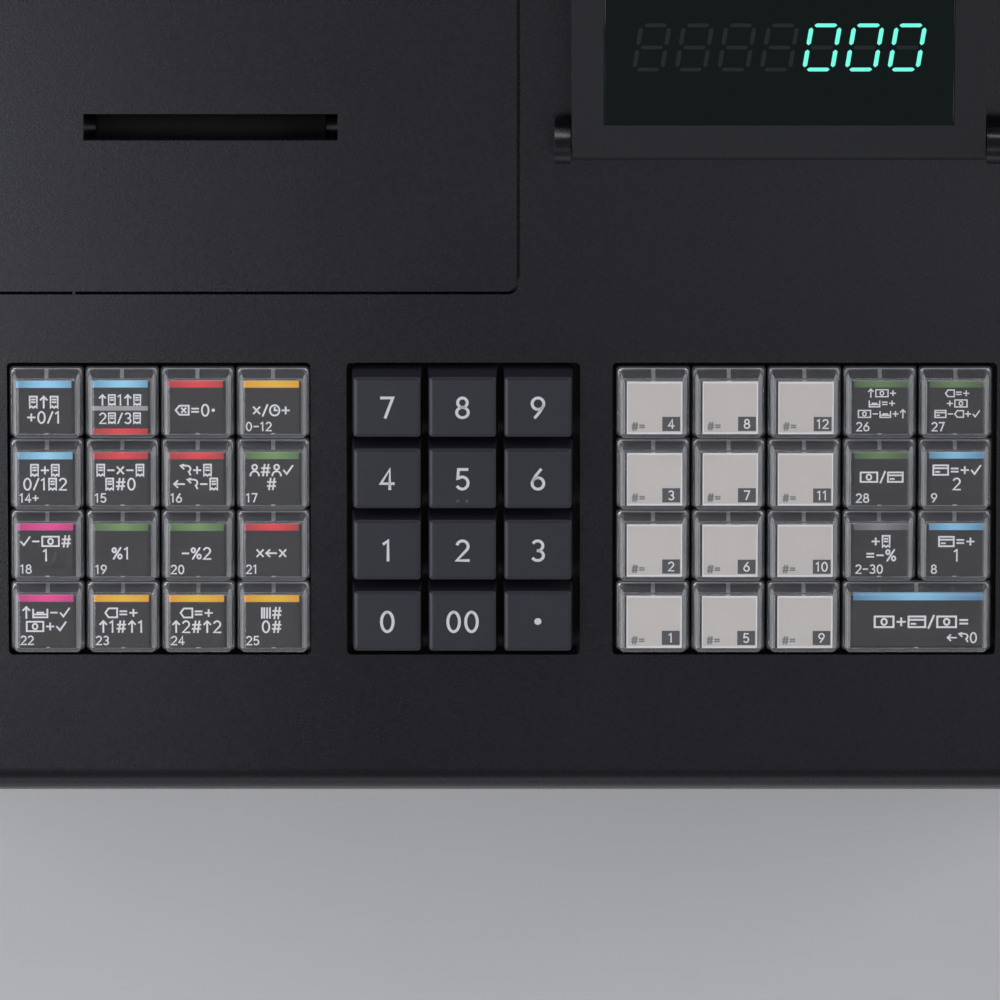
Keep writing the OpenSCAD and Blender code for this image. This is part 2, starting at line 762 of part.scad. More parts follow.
module printer_cover() {
    slot_l = paper_w + 2 * slot_side;
    color([0.17, 0.175, 0.19]) on_deck() {
        difference() {
            union() {
                translate([cover_x, (cover_s0 + cover_s1) / 2, 0])
                    round_block(cover_w, cover_l, cover_r, -cover_t, 0);
                for (side = [-1, 1]) {
                    x0 = barrel_x(side) - barrel_l / 2;
                    x_rod(x0, x0 + barrel_l, hinge_s, 0, barrel_r);
                    x_rod(x0 - wall, x0 + barrel_l + wall, hinge_s, 0, cover_pin_r);
                    block([x0, cover_s1 - cover_r, -cover_t + 0.6], [x0 + barrel_l, hinge_s, -0.2]);
                }
                translate([cover_x - cover_w / 2 + nib_side, cover_s0, 0])
                    block([-nib_w / 2, seam - cover_gap, -cover_t], [nib_w / 2, cut, 0]);
            }
            translate([roll_x - slot_l / 2, slot_s, -cover_t - cut])
                cube([slot_l, slot_w, cover_t + 2 * cut]);
        }
    }
    color([0.7, 0.7, 0.72]) on_deck() translate([roll_x, slot_s + slot_w, -cover_t])
        block([-slot_l / 2, 1, -2], [slot_l / 2, 2, -seam]);
}

// Upright plate that carries the spindle, and the frame plate of the print head
module bay_plate(x0, s0, s1, top) {
    block([x0, s0, -bay_depth + bay_wall + seam], [x0 + bay_wall, s1, top]);
}

module printer_mechanism() {
    cs = (cover_s0 + cover_s1) / 2;
    head_s = slot_s + slot_w;
    plate_x = [roll_x - paper_w / 2 - 4 - bay_wall, roll_x + paper_w / 2 + 4];
    color([0.14, 0.14, 0.15]) on_deck() translate([cover_x, cs, 0]) difference() {
        block([-bay_w / 2, -bay_l / 2, -bay_depth], [bay_w / 2, bay_l / 2, bay_top]);
        block([-bay_w / 2 + bay_wall, -bay_l / 2 + bay_wall, -bay_depth + bay_wall],
            [bay_w / 2 - bay_wall, bay_l / 2 - bay_wall, bay_top + cut]);
    }
    color([0.6, 0.6, 0.62]) on_deck() {
        for (x0 = plate_x) difference() {
            bay_plate(x0, roll_s - 14, roll_s + 14, roll_n + 12);
            x_rod(x0 - cut, x0 + bay_wall + cut, roll_s, roll_n, spindle_r + seam);
        }
        x_rod(plate_x[0] - 3, plate_x[1] + bay_wall + 3, roll_s, roll_n, spindle_r);
        for (x0 = plate_x) difference() {
            bay_plate(x0, head_s - 16, head_s + 16, bay_top - seam);
            x_rod(x0 - cut, x0 + bay_wall + cut, head_s - 8, platen_n, 2.5 + seam);
        }
        x_rod(plate_x[0] - 2, plate_x[1] + bay_wall + 2, head_s - 8, platen_n, 2.5);
        block([plate_x[0] + bay_wall + seam, head_s + 1, platen_n - 10],
            [plate_x[1] - seam, head_s + 9, platen_n + 5]);
        block([plate_x[1] + bay_wall + seam, head_s - 20, platen_n - 26],
            [plate_x[1] + bay_wall + 22, head_s + 2, platen_n - 6]);
    }
    color([0.08, 0.08, 0.08]) on_deck() difference() {
        x_rod(roll_x - paper_w / 2, roll_x + paper_w / 2, head_s - 8, platen_n, platen_r);
        x_rod(roll_x - paper_w / 2 - cut, roll_x + paper_w / 2 + cut, head_s - 8, platen_n, 2.5 + seam);
    }
}

module paper_roll() {
    color([0.93, 0.93, 0.9]) on_deck() difference() {
        x_rod(roll_x - paper_w / 2, roll_x + paper_w / 2, roll_s, roll_n, roll_r);
        x_rod(roll_x - paper_w / 2 - cut, roll_x + paper_w / 2 + cut, roll_s, roll_n, core_r);
    }
}

// ---- displays and lock ----

module operator_display() {
    rise = display_l * tan(display_lift);
    front = [display_s, display_n] + display_r * [-sin(display_lift), cos(display_lift)];
    rear = [front.x + display_l, front.y + rise];
    lens_margin = 8;
    color([0.15, 0.155, 0.17]) on_deck() difference() {
        union() {
            translate([display_x, 0, 0]) across(display_w) {
                polygon([[display_s, display_n - display_r], [rear.x, display_n - display_r], rear, front]);
                translate([display_s, display_n]) circle(display_r);
            }
            x_rod(display_x - display_w / 2 - ear_t - fit, display_x + display_w / 2 + ear_t + fit,
                display_s, display_n, pivot_r);
        }
        on_face(front) block([-display_w / 2 + lens_margin, lens_margin, -lens_t - seam],
            [display_w / 2 - lens_margin, display_l - lens_margin, cut]);
    }
    color([0.05, 0.07, 0.08, 0.9]) on_deck() on_face(front)
        block([-display_w / 2 + lens_margin + seam, lens_margin + seam, -lens_t],
            [display_w / 2 - lens_margin - seam, display_l - lens_margin - seam, 0]);
}

// Local x across, y up the display's face, z out of it
module on_face(front) {
    translate([display_x, front.x, front.y]) rotate([display_lift, 0, 0]) children();
}

module customer_display() {
    pod_z = plateau_z + stem_h;
    lens_margin = 6;
    color([0.15, 0.155, 0.17]) translate([turret_x, turret_y, 0]) difference() {
        union() {
            translate([0, 0, plateau_z - socket_h]) cylinder(r = stem_r, h = socket_h + stem_h + cut);
            translate([0, 0, plateau_z + fit]) cylinder(r = stem_r + 3, h = 3);
            round_block(turret_w, turret_d, 6, pod_z, pod_z + turret_h);
        }
        block([-turret_w / 2 + lens_margin, turret_d / 2 - lens_t - seam, pod_z + lens_margin],
            [turret_w / 2 - lens_margin, turret_d / 2 + cut, pod_z + turret_h - lens_margin]);
    }
    color([0.05, 0.07, 0.08, 0.9]) translate([turret_x, turret_y, 0])
        block([-turret_w / 2 + lens_margin + seam, turret_d / 2 - lens_t, pod_z + lens_margin + seam],
            [turret_w / 2 - lens_margin - seam, turret_d / 2, pod_z + turret_h - lens_margin - seam]);
}

module mode_key() {
    on_deck() translate([lock_x, window_s1 + lock_back, 0]) {
        color([0.75, 0.75, 0.78]) translate([0, 0, -lock_depth]) difference() {
            cylinder(r = plug_r, h = lock_depth + collar_h);
            translate([-bow_t / 2 - seam, -plug_r / 2 - seam, lock_depth + collar_h - 12])
                cube([bow_t + 2 * seam, plug_r + 2 * seam, 12 + cut]);
        }
        color([0.8, 0.8, 0.82]) rotate([90, 0, 90]) linear_extrude(bow_t, center = true) {
            translate([-plug_r / 2, collar_h - 11]) square([plug_r, 14]);
            difference() {
                translate([0, collar_h + 2 + bow_h / 2]) round_rect(bow_w, bow_h, 5);
                translate([0, collar_h + bow_h - 2]) circle(2.5);
            }
        }
    }
}

// ---- cash drawer ----

// Block that reaches from x0 to x1 out from the middle, on one side
module side_block(side, x0, x1, y0, y1, z0, z1) {
    block([min(side * x0, side * x1), y0, z0], [max(side * x0, side * x1), y1, z1]);
}

// Rod along X that reaches from x0 to x1 out from the middle, on one side
module side_rod(side, x0, x1, y, r) {
    x_rod(min(side * x0, side * x1), max(side * x0, side * x1), y, channel_z, r);
}

// Channel rail: its web stands at web_x, its two flanges reach to open_x
module rail(side, web_x, open_x, y0, y1) {
    low = channel_z - channel_h / 2;
    web = web_x < open_x ? flange_t : -flange_t;
    side_block(side, web_x, web_x + web, y0, y1, low - flange_t, low + channel_h + flange_t);
    for (z = [low - flange_t, low + channel_h])
        side_block(side, web_x, open_x, y0, y1, z, z + flange_t);
}

// Wheel with its bore, at one side
module wheel(side, x0, y) {
    difference() {
        side_rod(side, x0, x0 + wheel_t, y, wheel_r);
        side_rod(side, x0 - cut, x0 + wheel_t + cut, y, wheel_pin_r + seam);
    }
}

rail_gap = 1;
rail_w = (runner_space - rail_gap) / 2;
cabinet_wheel_x = drawer_x + seam + flange_t + fit;
drawer_wheel_x = inner_x - seam - flange_t - fit - wheel_t;

// Cabinet panels: floor with its screw holes, top, back and two sides
module cabinet_panels() {
    half = cabinet_w / 2;
    low = cabinet_z + sheet + seam;
    high = cabinet_top - sheet - seam;
    difference() {
        block([-half, cabinet_y0, cabinet_z], [half, cabinet_y1, cabinet_z + sheet]);
        for (x = [-1, 1]) for (y = [-1, 1])
            translate([x * bolt_x / 2, y * bolt_y / 2, cabinet_z - cut])
                cylinder(r = bolt_r, h = sheet + 2 * cut);
    }
    block([-half, cabinet_y0, cabinet_top - sheet], [half, cabinet_y1, cabinet_top]);
    block([-inner_x + seam, cabinet_y1 - sheet, low], [inner_x - seam, cabinet_y1, high]);
    for (side = [-1, 1]) side_block(side, inner_x, half, cabinet_y0, cabinet_y1, low, high);
}

module drawer_cabinet() {
    color([0.2, 0.2, 0.21]) {
        cabinet_panels();
        for (side = [-1, 1]) {
            rail(side, inner_x - seam, inner_x - rail_w, cabinet_y0 + 0.5, cabinet_y1 - 12);
            side_rod(side, cabinet_wheel_x, inner_x - seam - flange_t / 2, cabinet_wheel_y, wheel_pin_r);
        }
    }
    color([0.85, 0.85, 0.82]) for (side = [-1, 1]) wheel(side, cabinet_wheel_x, cabinet_wheel_y);
    color([0.08, 0.08, 0.08])
        for (x = [-1, 1]) for (y = [cabinet_y0 + foot_inset, cabinet_y1 - foot_inset])
            translate([x * (cabinet_w / 2 - foot_inset), y, 0]) cylinder(r = foot_r, h = foot_h - seam);
    color([0.55, 0.55, 0.57]) translate([0, 0, cabinet_z + sheet])
        block([-ejector_w / 2, drawer_y1 + ejector_gap, seam],
            [ejector_w / 2, cabinet_y1 - sheet - seam, ejector_h]);
}

// Drawer panels: floor, front, back and two sides
module drawer_panels() {
    top = drawer_z + drawer_h;
    low = drawer_z + sheet + seam;
    block([-drawer_x, drawer_y0, drawer_z], [drawer_x, drawer_y1, drawer_z + sheet]);
    for (y = [drawer_y0, drawer_y1 - sheet])
        block([-drawer_x + sheet + seam, y, low], [drawer_x - sheet - seam, y + sheet, top]);
    for (side = [-1, 1]) side_block(side, drawer_x - sheet, drawer_x, drawer_y0, drawer_y1, low, top);
}

module cash_drawer() {
    color([0.22, 0.22, 0.23]) {
        drawer_panels();
        for (side = [-1, 1]) {
            rail(side, drawer_x + seam, drawer_x + rail_w, drawer_y0 + 1, drawer_y1);
            side_rod(side, drawer_x + seam + flange_t / 2, drawer_wheel_x + wheel_t,
                drawer_wheel_y, wheel_pin_r);
        }
    }
    color([0.85, 0.85, 0.82]) for (side = [-1, 1]) wheel(side, drawer_wheel_x, drawer_wheel_y);
    color([0.15, 0.155, 0.17])
        translate([0, front_y + front_t, 0]) rotate([90, 0, 0])
            translate([0, (cabinet_z + cabinet_top) / 2, 0])
                round_block(cabinet_w, cabinet_h - 2 * front_gap, 4, 0, front_t);
}

module till_tray() {
    half = tray_w / 2;
    top = tray_z + tray_h;
    note_y0 = bin_y1 - bin_l;
    color([0.13, 0.13, 0.14]) {
        difference() {
            block([-half, tray_y0, tray_z], [half, tray_y1, top]);
            block([-half + tray_t, note_y0, tray_z + tray_t], [half - tray_t, bin_y1, top + cut]);
            block([-half + tray_t, cup_y0, tray_z + tray_t], [half - tray_t, cup_y0 + cup_l, top + cut]);
        }
        for (i = [1:columns - 1]) translate([-half + i * (column_w + tray_t), 0, 0])
            block([0, note_y0 + seam, tray_z + tray_t + seam], [tray_t, bin_y1 - seam, top]);
        for (i = [0:columns - 1]) for (row = [0:cup_rows - 1])
            translate([-half + tray_t + i * cup_pitch_x + seam, cup_y0 + row * cup_pitch_y + seam, 0])
                coin_cup(cup_pitch_x - 2 * seam, cup_pitch_y - 2 * seam, tray_z + tray_t + seam, top);
    }
}

// Loose coin cup on four low walls, with a round scoop at its front and rear
module coin_cup(w, l, z0, z1) {
    cup_z = z1 - cup_depth;
    difference() {
        block([0, 0, z0], [w, l, z1]);
        for (y = [cup_t + scoop_r, l - cup_t - scoop_r])
            x_rod(cup_t, w - cup_t, y, cup_z + scoop_r, scoop_r);
        block([cup_t, cup_t + scoop_r, cup_z], [w - cup_t, l - cup_t - scoop_r, z1 + cut]);
        block([cup_t, cup_t, cup_z + scoop_r], [w - cup_t, l - cup_t, z1 + cut]);
        block([cup_t, cup_t, z0 - cut], [w - cup_t, l - cup_t, cup_z - cup_t]);
    }
}

upper_case();
lower_case();
key_frame();
dome_mat();
printer_cover();
printer_mechanism();
paper_roll();
operator_display();
customer_display();
mode_key();
drawer_cabinet();
cash_drawer();
till_tray();
for (k = card_keys) card_key(k[1], k[2], k[3]);
for (k = number_keys) number_key(k[1], k[2]);
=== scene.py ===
import json
import math

import bmesh
import bpy
import numpy as np
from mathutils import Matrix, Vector

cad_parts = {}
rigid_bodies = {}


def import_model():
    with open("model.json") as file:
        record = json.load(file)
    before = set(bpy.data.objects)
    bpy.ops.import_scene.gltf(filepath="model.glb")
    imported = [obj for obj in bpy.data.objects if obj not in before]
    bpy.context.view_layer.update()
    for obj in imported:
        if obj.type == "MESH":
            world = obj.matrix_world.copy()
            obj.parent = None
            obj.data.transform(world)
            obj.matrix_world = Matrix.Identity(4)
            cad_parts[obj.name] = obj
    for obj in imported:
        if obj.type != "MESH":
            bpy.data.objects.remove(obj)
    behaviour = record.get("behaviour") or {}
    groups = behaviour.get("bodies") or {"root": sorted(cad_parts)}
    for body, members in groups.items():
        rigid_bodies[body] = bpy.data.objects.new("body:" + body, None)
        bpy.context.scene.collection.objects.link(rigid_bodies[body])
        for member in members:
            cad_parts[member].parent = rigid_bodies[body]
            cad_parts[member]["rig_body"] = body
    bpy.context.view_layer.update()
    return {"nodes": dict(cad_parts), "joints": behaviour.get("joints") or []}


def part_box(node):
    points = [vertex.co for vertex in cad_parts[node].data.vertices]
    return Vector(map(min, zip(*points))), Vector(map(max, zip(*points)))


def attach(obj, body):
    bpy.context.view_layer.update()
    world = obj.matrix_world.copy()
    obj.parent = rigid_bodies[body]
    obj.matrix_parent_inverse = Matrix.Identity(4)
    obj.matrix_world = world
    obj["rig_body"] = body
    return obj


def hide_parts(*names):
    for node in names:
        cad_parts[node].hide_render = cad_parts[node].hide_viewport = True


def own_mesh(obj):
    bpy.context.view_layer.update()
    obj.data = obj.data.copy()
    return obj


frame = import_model()
joints = {joint["name"]: joint for joint in frame["joints"]}
mm = 0.001

# ---- Camera ----
# Hangs six metres over the middle of the keyboard and leans a little, so that the keys show their
# rear sides and their columns stay straight. The printer is at the top.
LOOKS_AT = Vector((0, -98.12 * mm, 163.47 * mm))
CAMERA_FAR = 6000 * mm
CAMERA_LEAN = math.radians(2.82)
SEEN_WIDTH = 252.8 * mm
lens = bpy.data.cameras.new("camera")
lens.sensor_width = 36
lens.lens = lens.sensor_width * CAMERA_FAR / SEEN_WIDTH
camera = bpy.data.objects.new("camera", lens)
camera.location = LOOKS_AT + CAMERA_FAR * Vector((0, math.sin(CAMERA_LEAN), math.cos(CAMERA_LEAN)))
camera.rotation_euler = (-CAMERA_LEAN, 0, 0)
bpy.context.scene.collection.objects.link(camera)
bpy.context.scene.camera = camera
bpy.context.scene.view_settings.view_transform = "Standard"

# ---- Counter top and light ----
# A pale matt counter in a pale-walled room. A soft light at the front left does most of the work and
# lays a sheen over the left of the deck; weaker ones at both sides and behind light the keys' flanks.
COUNTER_SIZE = 6.0
COUNTER_COLOUR = (0.80, 0.80, 0.79)
ROOM_COLOUR = (0.95, 0.97, 1.0)
CEILING_LEVEL = 0.07
WALL_LEVEL = 0.7
WALL_TOP = 0.42
LIGHT_COLOUR = (0.97, 0.98, 1.05)
LIT_PLACE = Vector((0, -0.1, 0.16))


class Socket:
    """One output in a material's nodes: sums, differences and products of them add Math nodes."""

    def __init__(self, finish, link):
        self.finish, self.link = finish, link

    def math(self, operation, a, b):
        return self.finish.node("Math", {"operation": operation}, {0: a, 1: b})

    def __add__(self, other):
        return self.math("ADD", self, other)

    def __sub__(self, other):
        return self.math("SUBTRACT", self, other)

    def __mul__(self, other):
        return self.math("MULTIPLY", self, other)

    __radd__ = __add__


class Finish:
    """A material with its nodes: node() adds one, surface() sets the surface shader's sockets."""

    def __init__(self, name):
        self.material = bpy.data.materials.new(name)
        self.material.use_nodes = True
        self.tree = self.material.node_tree
        self.shader = next(n for n in self.tree.nodes if n.type == "BSDF_PRINCIPLED")
        self.end = next(n for n in self.tree.nodes if n.type == "OUTPUT_MATERIAL")

    def put(self, socket, value):
        if isinstance(value, Socket):
            self.tree.links.new(value.link, socket)
        elif isinstance(value, tuple) and len(value) == 3 and socket.type == "RGBA":
            socket.default_value = (*value, 1)
        else:
            socket.default_value = value

    def node(self, kind, settings=None, sockets=None, output=0):
        made = self.tree.nodes.new("ShaderNode" + kind)
        for name, value in (settings or {}).items():
            if name == "stops":
                for stop, (place, colour) in zip(self.stops(made, len(value)), value):
                    stop.position, stop.color = place, (*colour, 1)
            else:
                setattr(made, name, value)
        for name, value in (sockets or {}).items():
            self.put(made.inputs[name], value)
        return Socket(self, made.outputs[output])

    def stops(self, ramp, count):
        while len(ramp.color_ramp.elements) < count:
            ramp.color_ramp.elements.new(0.5)
        return ramp.color_ramp.elements

    def surface(self, **sockets):
        for name, value in sockets.items():
            self.put(self.shader.inputs[name.replace("_", " ")], value)
        return self.material

    def place(self):
        return self.node("TexCoord", output="Object")

    def noise(self, size, detail=2.0, rough=0.5, place=None):
        sockets = {"Vector": place or self.place(), "Scale": 1 / size, "Detail": detail, "Roughness": rough}
        return self.node("TexNoise", {}, sockets)

    def shaded(self, colour, level):
        return self.node("VectorMath", {"operation": "SCALE"}, {"Vector": colour, "Scale": level})

    def bump(self, height, depth):
        return self.node("Bump", {}, {"Height": height, "Distance": depth, "Strength": 1.0})


def plain(name, colour, grain, level, roughness, **sockets):
    """A plain finish. A pair (base, drift) stands for base + drift * noise, with a noise of the given
    grain: so the level of the colour drifts, and the roughness where it is a pair."""
    finish = Finish(name)
    noise = finish.noise(*grain)
    if isinstance(roughness, tuple):
        roughness = roughness[0] + noise * roughness[1]
    shade = finish.shaded(colour, level[0] + noise * level[1])
    return finish.surface(Base_Color=shade, Roughness=roughness, **sockets)


counter = bpy.data.objects.new("counter", bpy.data.meshes.new("counter"))
far = COUNTER_SIZE / 2
counter.data.from_pydata([(-far, -far, 0), (far, -far, 0), (far, far, 0), (-far, far, 0)], [], [(0, 1, 2, 3)])
counter.data.materials.append(plain("counter_top", COUNTER_COLOUR, (60 * mm, 4), (0.97, 0.06), (0.55, 0.1)))
bpy.context.scene.collection.objects.link(counter)

room = bpy.data.worlds.new("room")
room.use_nodes = True
room_nodes, room_links = room.node_tree.nodes, room.node_tree.links
room_shader = next(n for n in room_nodes if n.type == "BACKGROUND")
room_shader.inputs["Color"].default_value = (*ROOM_COLOUR, 1)
room_way = room_nodes.new("ShaderNodeTexCoord")
room_height = room_nodes.new("ShaderNodeSeparateXYZ")
room_level = room_nodes.new("ShaderNodeMapRange")
room_level.interpolation_type = "SMOOTHSTEP"
for name, value in (("From Max", WALL_TOP), ("To Min", WALL_LEVEL), ("To Max", CEILING_LEVEL)):
    room_level.inputs[name].default_value = value
room_links.new(room_way.outputs["Generated"], room_height.inputs[0])
room_links.new(room_height.outputs["Z"], room_level.inputs["Value"])
room_links.new(room_level.outputs["Result"], room_shader.inputs["Strength"])
bpy.context.scene.world = room


def softbox(name, place, size, watts):
    """A square area light at a place, turned to shine at the keyboard."""
    light = bpy.data.lights.new(name, "AREA")
    light.shape, light.size, light.energy, light.color = "SQUARE", size, watts, LIGHT_COLOUR
    lamp = bpy.data.objects.new(name, light)
    lamp.location = place
    lamp.rotation_euler = (LIT_PLACE - Vector(place)).to_track_quat("-Z", "Y").to_euler()
    bpy.context.scene.collection.objects.link(lamp)


softbox("light_front_left", (-0.52, -0.49, 0.82), 0.62, 3.55)
softbox("light_front_right", (0.5, -0.6, 1.12), 0.7, 1.1)
softbox("light_left", (-1.35, 0.15, 1.0), 0.8, 3)
softbox("light_right", (1.35, 0.15, 1.0), 0.8, 6)
softbox("light_rear", (0, 1.35, 1.1), 0.8, 6)

# ---- Case ----
# Two charcoal ABS shells, moulded with a fine spark-eroded grain, that meet at a level seam. The
# upper one has the sloping deck with its windows, the lower one the main board, power and inlet.
CASE_COLOUR = (0.0084, 0.0084, 0.0122)
CASE_GRAIN = 0.55 * mm


def moulded(name, colour, roughness, grain=CASE_GRAIN, depth=0.02 * mm, speckle=0.35, drift=0.12, shine=0.5):
    """Moulded plastic: a fine even grain in height and gloss, and a colour that drifts a little."""
    finish = Finish(name)
    place = finish.place()
    fine = finish.noise(grain, 2, 0.6, place)
    coarse = finish.noise(grain * 3.7, 2, 0.5, place)
    broad = finish.noise(70 * mm, 3, 0.5, place)
    level = 1 + (fine - 0.5) * speckle + (coarse - 0.5) * speckle * 0.6 + (broad - 0.5) * drift
    return finish.surface(
        Base_Color=finish.shaded(colour, level),
        Roughness=roughness + (fine - 0.5) * 0.14 + (broad - 0.5) * 0.08,
        Normal=finish.bump(fine + coarse * 0.5, depth),
        Specular_IOR_Level=shine,
    )


def solids_of(node):
    """The closed solids of a CAD node: corners that meet are merged, then each label spreads along
    the edges, smallest first, until every solid has one. Gives (points, triangles) for each."""
    mesh = frame["nodes"][node].data
    co = np.zeros(len(mesh.vertices) * 3, np.float32)
    mesh.vertices.foreach_get("co", co)
    mesh.calc_loop_triangles()
    tris = np.zeros(len(mesh.loop_triangles) * 3, np.int32)
    mesh.loop_triangles.foreach_get("vertices", tris)
    keys, same = np.unique(np.round(co.reshape(-1, 3) * 1e6).astype(np.int64), axis=0, return_inverse=True)
    points = keys / 1e6
    tris = same.reshape(-1)[tris].reshape(-1, 3)
    whole = (tris[:, 0] != tris[:, 1]) & (tris[:, 1] != tris[:, 2]) & (tris[:, 2] != tris[:, 0])
    tris = tris[whole]
    label = np.arange(len(points))
    while True:
        before = label.copy()
        lowest = label[tris].min(1)
        for corner_of in tris.T:
            np.minimum.at(label, corner_of, lowest)
        label = label[label]
        if (label == before).all():
            break
    found = []
    for number in np.unique(label[tris[:, 0]]):
        own = tris[label[tris[:, 0]] == number]
        used, own = np.unique(own, return_inverse=True)
        found.append((points[used], own.reshape(-1, 3)))
    return found


def show(name, mesh, materials, body, replaced=(), sharp=30.0):
    """Puts a finished mesh in the scene, with its materials, on its body."""
    for material in materials:
        mesh.materials.append(material)
    mesh.shade_smooth()
    mesh.set_sharp_from_angle(angle=math.radians(sharp))
    made = bpy.data.objects.new(name, mesh)
    bpy.context.scene.collection.objects.link(made)
    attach(made, body)
    if replaced:
        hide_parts(*replaced)
    return made


def dressed(name, node, solids, material, edge):
    """A piece from some solids of a CAD node, with flat faces made whole and its edges rounded."""
    work = bmesh.new()
    for points, tris in solids:
        corners = [work.verts.new(p) for p in points.tolist()]
        for a, b, c in tris.tolist():
            work.faces.new((corners[a], corners[b], corners[c]))
    bmesh.ops.dissolve_limit(work, angle_limit=math.radians(0.4), verts=work.verts, edges=work.edges)
    mesh = bpy.data.meshes.new(name)
    work.to_mesh(mesh)
    work.free()
    made = show(name, mesh, [material], frame["nodes"][node]["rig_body"], [node])
    if edge:
        bevel = made.modifiers.new("edge", "BEVEL")
        bevel.width, bevel.segments, bevel.limit_method = edge, 2, "ANGLE"
        bevel.angle_limit = math.radians(35)
    even = made.modifiers.new("even", "WEIGHTED_NORMAL")
    even.keep_sharp = True


def dress_parts(node, parts):
    """Shares a CAD node's solids out by size, and dresses each share. A part is its name, the test
    that takes a solid by its lowest corner and its extent, its material and the width of its rounded
    edges; a solid goes to the first part that takes it."""
    shares = [[] for part in parts]
    for points, tris in solids_of(node):
        low, size = points.min(0), np.ptp(points, axis=0)
        share = next(share for share, part in zip(shares, parts) if part[1](low, size))
        share.append((points, tris))
    for (name, _, material, edge), solids in zip(parts, shares):
        dressed(name, node, solids, material, edge)


case_plastic = moulded("charcoal_grained_plastic", CASE_COLOUR, 0.27, shine=0.65)
dressed("case_upper_shell", "upper_case", solids_of("upper_case"), case_plastic, 0.3 * mm)
zinc = plain("zinc_plated_steel", (0.56, 0.57, 0.58), (9 * mm, 4, 0.65), (0.82, 0.36), (0.24, 0.26),
             Metallic=1.0)
board_finish = Finish("green_circuit_board")
board_grid = board_finish.node("TexWave", {"wave_type": "BANDS", "bands_direction": "X"}, {
    "Vector": board_finish.place(), "Scale": 60.0, "Distortion": 6.0, "Detail": 1.0, "Detail Scale": 30.0})
board_trace = board_finish.node("MapRange", {}, {"Value": board_grid, 1: 0.55, 2: 0.62, 3: 0.0, 4: 1.0})
board_green = board_finish.node("Mix", {"data_type": "RGBA"}, {
    "Factor": board_trace, 6: (0.012, 0.085, 0.035, 1), 7: (0.03, 0.19, 0.075, 1)}, output=2)
circuit_board = board_finish.surface(Base_Color=board_green, Roughness=0.32, Coat_Weight=0.4)
black_plastic = moulded("black_moulded_plastic", (0.011, 0.011, 0.012), 0.42, 0.7 * mm, 0.008 * mm, 0.2, 0.15)
rubber = moulded("black_rubber", (0.013, 0.013, 0.013), 0.78, 0.9 * mm, 0.03 * mm, 0.5, 0.3)
dress_parts("lower_case", [
    ("case_lower_shell", lambda low, size: size[0] > 300 * mm, case_plastic, 0.3 * mm),
    ("main_board", lambda low, size: size[2] < 3 * mm and size[0] > 100 * mm, circuit_board, 0),
    ("power_supply", lambda low, size: size[0] > 60 * mm, zinc, 0.8 * mm),
    ("case_pads", lambda low, size: size[2] < 3 * mm, rubber, 0.4 * mm),
    ("mains_inlet_socket", lambda low, size: size[0] > 20 * mm, black_plastic, 0.25 * mm),
    ("case_screws", lambda low, size: True, zinc, 0.2 * mm),
])

# ---- Key frame ----
# A black guide frame that the key stems slide in, and the keyboard's circuit board under it.
dress_parts("key_frame", [
    ("key_guide_frame", lambda low, size: size[2] >= 30 * mm, black_plastic, 0),
    ("keyboard_board", lambda low, size: True, circuit_board, 0),
])

# ---- Number keys ----
# Twelve one-piece satin keys in the middle window: a flat top on sides that lean in, printed with
# white figures. Each moves with its own stem, straight into the deck.
NUMBER_RISE = 4.4 * mm
KEY_SKIRT = 3.3 * mm
# Each ring of the rounded top edge: how far it lies in from the side, and under the top
NUMBER_EDGE_IN = np.array((0, 0.04, 0.15, 0.95, 1.1, 1.6)) * 0.75 * mm
NUMBER_EDGE_DROP = np.array((1.9, 1.2, 0.95, 0.06, 0, 0)) * 0.32 * mm
NUMBER_CORNER = 0.7 * mm
NUMBER_DRAFT = (0.5 * mm, 1.0 * mm)
DIGIT_HEIGHT = 5.25 * mm
DIGIT_STROKE = 0.75 * mm
POINT_RADIUS = 0.9 * mm
TOUCH_MARKS = [(-1.15 * mm, -5.9 * mm), (1.15 * mm, -5.9 * mm)]
TOUCH_RADIUS = 0.5 * mm
TOUCH_RISE = 0.35 * mm
STEM_HALF = 3.0 * mm
BARB_HALF = 1.4 * mm
BARB_REACH = 0.6 * mm
EASE = 0.2 * mm
INK_RISE = 0.03 * mm
SUNK = 0.05 * mm

deck_out = -Vector(joints["number_key_5_press"]["axis"]).normalized()
DECK = np.array([(1, 0, 0), (0, deck_out.z, -deck_out.y), tuple(deck_out)])


def deck_box(node):
    """Lowest and highest corner of a CAD node, measured across the deck, up it and out of it."""
    co = np.array([v.co for v in frame["nodes"][node].data.vertices]) @ DECK.T
    return co.min(0), co.max(0)


deck_level = deck_box("number_key_5")[1][2] - NUMBER_RISE
key_pitch = deck_box("number_key_9")[0][0] - deck_box("number_key_8")[0][0]


def key_box(node):
    """Half a key's width, its middle on the deck, the level of its stem's end, and where across the
    key its stems stand."""
    low, high = deck_box(node)
    stems = (-key_pitch / 2, key_pitch / 2) if node == "total_key" else (0,)
    return (high[0] - low[0]) / 2, (low + high)[:2] / 2, low[2] - deck_level, stems


def on_deck(points, x, s):
    """Points given across, up and out of the deck, moved to a place on it, in the row frame."""
    return (np.asarray(points, float) + (x, s, deck_level)) @ DECK


def rings(half_x, half_y, corner, height, steps=5):
    """Rectangles with round corners at several heights: each corner is a quarter circle about a
    point that lies its radius inside both sides. Gives one closed ring of points per height."""
    turn = np.radians(np.arange(4)[:, None] * 90 + np.linspace(0, 90, steps)).ravel()
    side_x, side_y = np.repeat([1, -1, -1, 1], steps), np.repeat([1, 1, -1, -1], steps)
    x, y, r, z = (np.reshape(value, (-1, 1)) for value in np.broadcast_arrays(half_x, half_y, corner, height))
    return np.stack([side_x * (x - r) + r * np.cos(turn), side_y * (y - r) + r * np.sin(turn),
                     z + 0 * turn], -1)


